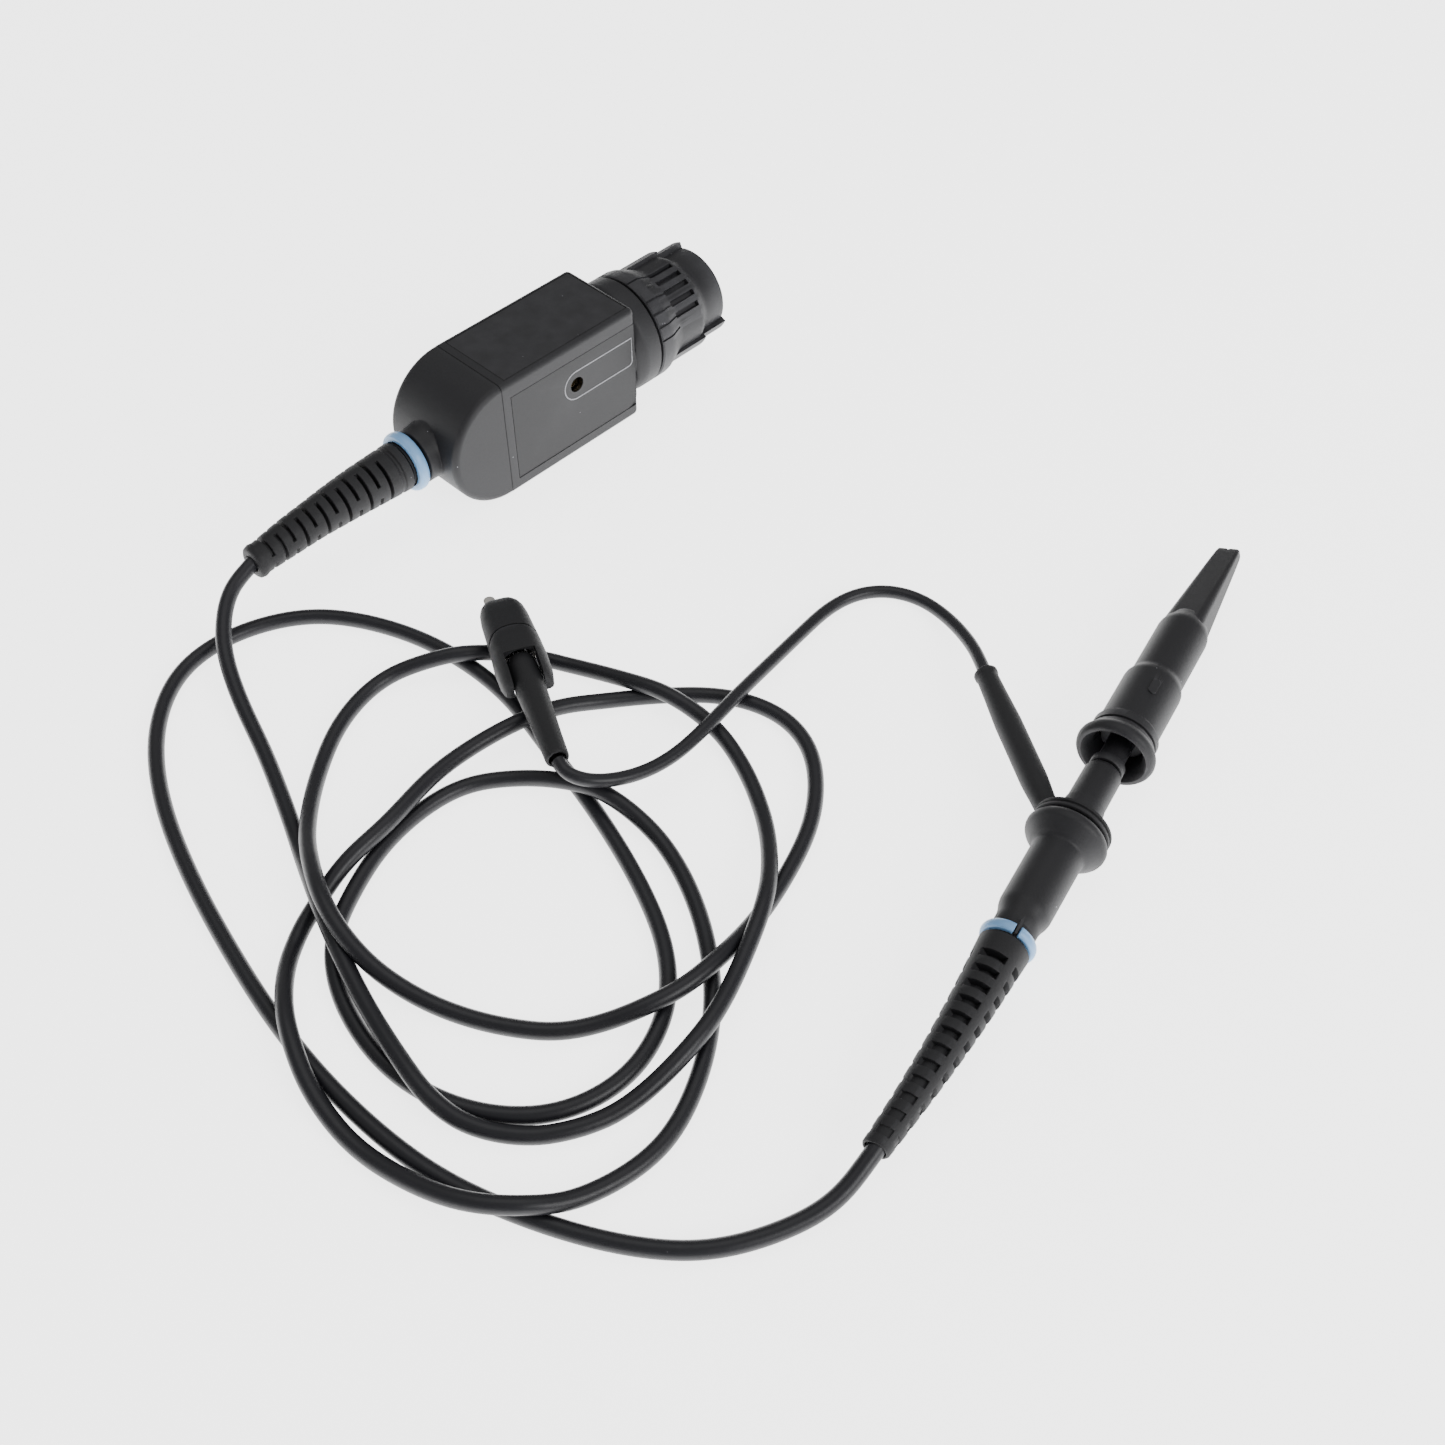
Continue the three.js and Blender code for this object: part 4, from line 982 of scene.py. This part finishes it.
# ---- hook tip -----------------------------------------------------------------------------------
# A push-on core with a bent wire hook, and a spring-loaded sleeve over it with a waisted grip and a
# flattened nose. Pulling the sleeve's flange back bares the hook.
core_profile = [
    (-7.6, 0.9), (-7.6, 1.9), (-4.2, 1.9), (-4.2, 3.0), (-4.0, 3.1), (-2.6, 3.1), (-2.6, 2.4), (4.0, 2.4),
    (4.0, 4.0), (4.2, 4.2), (6.0, 4.4), (14.7, 4.4), (15.0, 4.1), (15.0, 2.4), (28.2, 2.4), (28.4, 2.2),
    (28.4, 0.9),
]
hook_base = solid("hook_base", turned(core_profile, 64), head_axes)
softened(hook_base, 0.06)
fitted(hook_base, "hook_tip", "hook_core", charcoal_plastic)

sleeve_profile = [
    (-0.6, 0), (-0.6, 6.5), (-0.35, 6.85), (0.1, 7.12), (0.7, 7.24), (1.2, 7.15), (1.7, 6.88), (2.2, 6.45),
    (2.7, 6.18), (3.2, 6.1), (3.25, 5.7), (3.75, 5.7), (3.8, 6.1), (5.3, 6.1), (5.35, 5.7), (5.9, 5.7),
    (6.2, 5.5), (17.6, 5.5), (18.3, 5.42), (19.0, 5.15), (19.6, 4.9), (20.2, 4.8), (33.0, 4.8),
    (33.9, 4.68), (34.7, 4.42), (35.5, 4.02), (36.4, 3.7), (37.0, 3.5), (37.0, 0),
]
hook_grip = solid("hook_grip", turned(sleeve_profile), head_axes)
NOSE_ROLL = math.radians(-19)
NOSE_ROOT, NOSE_START, NOSE_END = 34.8, 35.2, 59.0
nose_sections = []
for k in range(25):
    x = NOSE_ROOT + (NOSE_END - NOSE_ROOT) * k / 24
    t = (x - NOSE_START) / (NOSE_END - NOSE_START)
    drawn = 0 if k < 24 else 0.16
    wide, high = 7.6 + (4.6 - 7.6) * t - drawn, 6.6 + (2.4 - 6.6) * t - drawn
    reach = 1 - 0.02 * max(0, (k - 20) / 4)
    nose_sections.append([(x, y, z) for y, z in rounded(wide * reach, high * reach, 0.24 * high * reach)])
flat_nose = lofted(nose_sections)
flat_nose.transform(Matrix.Rotation(NOSE_ROLL, 4, "X"))
joined_on(hook_grip, head_axes, flat_nose)
mark_sections = []
for lift, drawn in ((5.2, 0), (5.8, 0), (5.86, 0.12)):
    outline = rounded(3.4 - 2 * drawn, 1.5 - 2 * drawn, 0.7 - drawn)
    mark_sections.append([(13.5 + a, b, lift) for a, b in outline])
mark = lofted(mark_sections)
mark.transform(Matrix.Rotation(math.radians(12), 4, "X"))
joined_on(hook_grip, head_axes, mark)
bore_profile = [
    (-2, 0), (-2, 6.3), (-0.6, 6.0), (1.2, 4.75), (29.0, 4.75), (30.5, 3.0), (38.0, 3.0), (38.0, 1.15),
    (62, 1.15), (62, 0),
]
cut_out(hook_grip, head_axes, turned(bore_profile, 48))
softened(hook_grip, 0.09, 2, 42)
fitted(hook_grip, "hook_slider", "hook_sleeve", charcoal_plastic)

hook_path = [Vector((x, 0, -0.3)) for x in (21.5, 40, 56.8)]
for angle in range(0, 181, 20):
    t = math.radians(angle)
    hook_path.append(Vector((57.4 + 0.62 * math.sin(t), 0, 0.1 - 0.4 * math.cos(t))))
hook_path += [Vector((56.6, 0, 0.46)), Vector((55.8, 0, 0.38))]
bent_hook = tube_along("bent_hook", [head_axes @ place for place in hook_path], 0.32 * MM, 14)
fitted(bent_hook, "hook_tip", "hook_wire", nickel)

# ---- ground collar ------------------------------------------------------------------------------
# A soft rubber collar round the head behind the hook, moulded in one with the sleeve that the
# ground wire leaves by. A sprung metal ring inside it touches the head's shield.
collar_profile = [
    (-20.0, 4.75), (-20.0, 6.6), (-19.8, 6.85), (-19.35, 6.85), (-19.25, 6.5), (-18.85, 6.5),
    (-18.75, 6.85), (-18.3, 6.85), (-18.1, 6.6), (-18.1, 4.75),
]
lead_collar = solid("lead_collar", turned(collar_profile), head_axes)
SLEEVE_FROM = Vector((-18.3, 4.5, 0.8))
SLEEVE_TO = Vector((7.8, 27.9, -1.6))
sleeve_line = SLEEVE_TO - SLEEVE_FROM
sleeve_length = sleeve_line.length
sleeve_profile = [
    (0.2, 0), (0.2, 2.0), (2, 2.1), (4, 2.2), (6, 2.35), (8, 2.45), (22, 2.45),
    (sleeve_length - 6, 2.15), (sleeve_length - 1.4, 2.0), (sleeve_length - 0.9, 2.2),
    (sleeve_length - 0.2, 2.22), (sleeve_length, 2.05), (sleeve_length, 1.55), (sleeve_length - 4, 1.55),
    (sleeve_length - 4, 0),
]
sleeve_mesh = turned(sleeve_profile, 64)
turn = Vector((1, 0, 0)).rotation_difference(sleeve_line).to_matrix().to_4x4()
sleeve_mesh.transform(Matrix.Translation(SLEEVE_FROM) @ turn)
lead_sleeve = solid("lead_sleeve", sleeve_mesh, head_axes)
cut_out(
    lead_sleeve, head_axes,
    turned([(-28, 0), (-28, 6.6), (-18.3, 6.6), (-18.3, 0)], 64),
    turned([(-28, 0), (-28, 4.8), (-10, 4.8), (-10, 0)], 64),
    slab((-30, -10, -5), (-19.98, 12, 5)),
)
worked(lead_collar, [lead_sleeve], "UNION")
softened(lead_collar, 0.08, 2, 42)
fitted(lead_collar, "ground_collar", "ground_collar_boot", charcoal_rubber)

# ---- ground clip --------------------------------------------------------------------------------
# A small spring clip on the end of the lead. Its thumb lever is a curved hood and nose cover over
# two flat nickel jaws, and its tail is a rubber tube that the wire goes into.
clip_joint = joints["clip_jaw_open"]
clip_y = Vector(clip_joint["axis"]) * -1
CLIP_DIP = math.radians(3.3)
PIVOT_X, PIVOT_Z = 27.6, -0.8
clip_level = Vector((clip_y.y, -clip_y.x, 0)).normalized()
clip_x = clip_level * math.cos(CLIP_DIP) - Vector((0, 0, 1)) * math.sin(CLIP_DIP)
clip_z = clip_x.cross(clip_y)
clip_origin = Vector(clip_joint["pos_m"]) - (clip_x * PIVOT_X + clip_z * PIVOT_Z) * MM
clip_axes = Matrix.Translation(clip_origin) @ Matrix((clip_x, clip_y, clip_z)).transposed().to_4x4()
clip_axes = clip_axes @ Matrix.Scale(MM, 4)


def along(table, x):
    """A smoothly read value at x from (x, value) pairs."""
    for (xa, va), (xb, vb) in zip(table, table[1:]):
        if x <= xb:
            t = max(0, (x - xa) / (xb - xa))
            return va + (vb - va) * t
    return table[-1][1]


LEVER_HALF_WIDTHS = [
    (18.6, 3.6), (18.9, 4.3), (19.6, 4.65), (21.0, 4.9), (25.0, 5.0), (29.0, 4.85), (33.0, 4.65),
    (37.0, 4.5), (39.3, 4.2), (41.0, 3.6), (42.0, 2.8), (42.7, 1.9), (43.1, 0.9),
]
LEVER_TOPS = [
    (18.6, 2.0), (19.2, 2.6), (20.5, 3.2), (23.0, 3.6), (26.0, 3.75), (30.0, 3.7), (34.5, 3.3), (38.0, 2.9),
    (40.5, 2.4), (41.9, 1.8), (42.7, 1.2), (43.1, 0.75),
]
LEVER_UNDERSIDES = [(18.6, -1.3), (26.0, -1.3), (28.5, 0.37), (43.1, 0.37)]


def lever_body():
    """The whole curved lever before it is parted, round at the shoulders and hollow below."""
    stations = [18.6, 18.75, 18.9, 19.2, 19.6, 20.2, 21]
    stations += [22 + 0.75 * k for k in range(26)] + [41.6, 42.0, 42.4, 42.7, 42.9, 43.1]
    sections = []
    for x in stations:
        w, top, low = along(LEVER_HALF_WIDTHS, x), along(LEVER_TOPS, x), along(LEVER_UNDERSIDES, x)
        shoulder = min(w * 0.62, (top - low) * 0.85)
        outline = [(-w, low)] + arc((-w + shoulder, top - shoulder), shoulder, 180, 90, 8)
        outline += arc((w - shoulder, top - shoulder), shoulder, 90, 0, 8) + [(w, low)]
        sections.append([(x, y, z) for y, z in outline])
    return lofted(sections)


SEAM_CENTRE = 27.0
SEAM_RADIUS = 5.3


def seam_drum(radius, behind):
    """Everything behind the seam that bulges towards the jaws."""
    outline = arc((SEAM_CENTRE, 0), radius, -90, 90, 48)
    outline += [(SEAM_CENTRE + behind, 9), (10, 9), (10, -9), (SEAM_CENTRE + behind, -9)]
    return solid("drum", lofted([[(x, y, z) for x, y in outline] for z in (-9, 9)]), clip_axes)


lever_hood = solid("lever_hood", lever_body(), clip_axes)
cut_out(
    lever_hood, clip_axes,
    turned([(24, 0), (24, 3.45), (26.8, 3.45), (26.8, 0)], 48),
    slab((10, -2.9, -9), (25.4, 2.9, 9)),
    slab((24.6, -3.4, -4), (40.4, 3.4, 2.2)),
)
lever_nose = lever_hood.copy()
lever_nose.data = lever_hood.data.copy()
lever_nose.name = "lever_nose"
link(lever_nose)
worked(lever_hood, [seam_drum(SEAM_RADIUS, 0.001)], "INTERSECT")
worked(lever_nose, [seam_drum(SEAM_RADIUS + 0.3, 0.3)])
softened(lever_hood, 0.14, 3, 38)
softened(lever_nose, 0.14, 3, 38)
fitted(lever_hood, "clip_lever", "clip_hood", charcoal_rubber)
fitted(lever_nose, "clip_lever", "clip_nose_cover", charcoal_rubber)

tail_profile = [
    (0, 1.55), (0, 1.9), (0.25, 2.1), (0.6, 2.16), (6, 2.3), (12, 2.56), (17, 2.78), (23.4, 2.84),
    (24.3, 2.7), (25.6, 2.66), (25.6, 1.2), (4, 1.2), (4, 1.55),
]
clip_tail = solid("clip_tail", turned(tail_profile, 56), clip_axes)
softened(clip_tail, 0.08, 2, 42)
fitted(clip_tail, "probe_set", "clip_tube_boot", charcoal_rubber)

UNDER_HALF_WIDTHS = [(26.0, 2.9), (28.0, 3.6), (33.0, 3.8), (38.5, 3.6), (41.3, 2.9), (42.7, 1.6)]
UNDER_DEPTHS = [(26.0, -2.6), (28.0, -3.1), (36.5, -3.1), (40.5, -2.4), (42.7, -1.2)]
sections = []
for k in range(24):
    x = 26.0 + 16.7 * k / 23
    w, low = along(UNDER_HALF_WIDTHS, x), along(UNDER_DEPTHS, x)
    shoulder = min(w * 0.5, (-0.6 - low) * 0.8)
    outline = [(w, -0.6)] + arc((w - shoulder, low + shoulder), shoulder, 0, -90, 6)
    outline += arc((-w + shoulder, low + shoulder), shoulder, -90, -180, 6) + [(-w, -0.6)]
    sections.append([(x, y, z) for y, z in outline])
under_shell = solid("under_shell", lofted(sections), clip_axes)
well = turned([(-2.4, 0), (-2.4, 1.9), (2.4, 1.9), (2.4, 0)], 40)
pin_hole = turned([(-5, 0), (-5, 0.9), (5, 0.9), (5, 0)], 32)
for mesh in (well, pin_hole):
    mesh.transform(Matrix.Translation((PIVOT_X, 0, PIVOT_Z)) @ Matrix.Rotation(math.pi / 2, 4, "Z"))
cut_out(under_shell, clip_axes, well, pin_hole)
softened(under_shell, 0.1, 2, 40)
fitted(under_shell, "probe_set", "clip_lower_shell", charcoal_rubber)

JAW_OUTLINE = [(30.5, 2.2), (41.5, 2.4)] + arc((43.9, 1.35), 1.1, 95, -70, 12)
JAW_OUTLINE += [(43.2, 0.1), (41.5, -0.9), (38.5, -2.2), (30.5, -2.2)]
JAW_THICKNESS = 0.25
for name, node, body, low in (
    ("lower_jaw", "clip_lower_jaw", "probe_set", -JAW_THICKNESS),
    ("upper_jaw", "clip_upper_jaw", "clip_lever", 0.05),
):
    mesh = lofted([[(x, y, z) for x, y in JAW_OUTLINE] for z in (low, low + JAW_THICKNESS)])
    jaw = solid(name, mesh, clip_axes)
    softened(jaw, 0.05, 2, 40)
    fitted(jaw, body, node, nickel)

# ---- parts that stay out of sight ---------------------------------------------------------------
# The board, trimmer and chips in the box, the network in the head, and the springs and pins keep
# their frame solids and only take their finishes.


def board_material():
    """Green solder mask with paler tracks under it."""
    material, tree, shader = blank_material("solder_mask")
    shader.inputs["Roughness"].default_value = 0.3
    place = added(tree, "TexCoord")
    tracks = added(tree, "TexBrick", {
        "Scale": 500, "Color1": (0.02, 0.12, 0.05, 1), "Color2": (0.03, 0.16, 0.07, 1),
        "Mortar": (0.08, 0.28, 0.12, 1),
    })
    wired(tree, (place, "Object", tracks, "Vector"), (tracks, "Color", shader, "Base Color"))
    return material


ceramic = moulding("sintered_ceramic", (0.45, 0.36, 0.22), (0.6, 0.5, 0.35), 0.55, 6000, 0.00001, 0.0)
solder_mask = board_material()
spring_steel = plated("blackened_spring_steel", (0.06, 0.06, 0.065), 0.45)
INNER_FINISHES = {
    "circuit_board": solder_mask,
    "trimmer_body": ceramic, "chip_resistor_1": ceramic, "chip_resistor_2": ceramic,
    "chip_capacitor_1": ceramic, "tip_resistor": ceramic,
    "trimmer_rotor": gold, "tip_needle": gold,
    "shield_tube": nickel, "ground_contact_ring": nickel, "hook_return_spring": nickel,
    "clip_spring": spring_steel, "clip_pivot_pin": nickel,
    "tip_insulator": natural_plastic,
}
for node, material in INNER_FINISHES.items():
    finished(nodes[node], material)

# ---- bench and light ----------------------------------------------------------------------------
# A white bench top, a large soft light overhead and behind, and a bright plain room.


def bench_material():
    """White bench paper, lit so that it stays plain."""
    material, tree, shader = blank_material("white_bench")
    shader.inputs["Roughness"].default_value = 0.85
    shader.inputs["Specular IOR Level"].default_value = 0.1
    shader.inputs["Emission Color"].default_value = (1, 1, 1, 1)
    shader.inputs["Emission Strength"].default_value = 3.0
    place = added(tree, "TexCoord")
    cloud = added(tree, "TexNoise", {"Scale": 8})
    mixed = added(tree, "MixRGB", {"Color1": (0.93, 0.93, 0.93, 1), "Color2": (0.96, 0.96, 0.96, 1)})
    wired(
        tree,
        (place, "Object", cloud, "Vector"),
        (cloud, "Fac", mixed, "Fac"),
        (mixed, "Color", shader, "Base Color"),
    )
    return material


bench_mesh = bmesh.new()
bmesh.ops.create_grid(bench_mesh, x_segments=4, y_segments=4, size=6)
bench_mesh.transform(Matrix.Translation((0, 0, -0.0002)))
bench = solid("bench", bench_mesh)
bench.data.materials.append(bench_material())

room = bpy.data.worlds.new("bright_room")
bpy.context.scene.world = room
room.use_nodes = True
room.node_tree.nodes["Background"].inputs["Color"].default_value = (1, 1, 1, 1)
room.node_tree.nodes["Background"].inputs["Strength"].default_value = 0.45


def soft_light(name, place, aim, size, power):
    """A rectangular lamp turned to face a point."""
    data = bpy.data.lights.new(name, "AREA")
    data.shape = "RECTANGLE"
    data.size = size[0]
    data.size_y = size[1]
    data.energy = power
    light = link(bpy.data.objects.new(name, data))
    light.location = place
    light.rotation_euler = (Vector(aim) - Vector(place)).to_track_quat("-Z", "Y").to_euler()


soft_light("overhead", (0.0, 0.2, 0.9), (0, 0, 0), (0.9, 0.7), 2.2)
soft_light("key", (0.6, -0.55, 0.5), (0, 0, 0), (0.45, 0.45), 5)
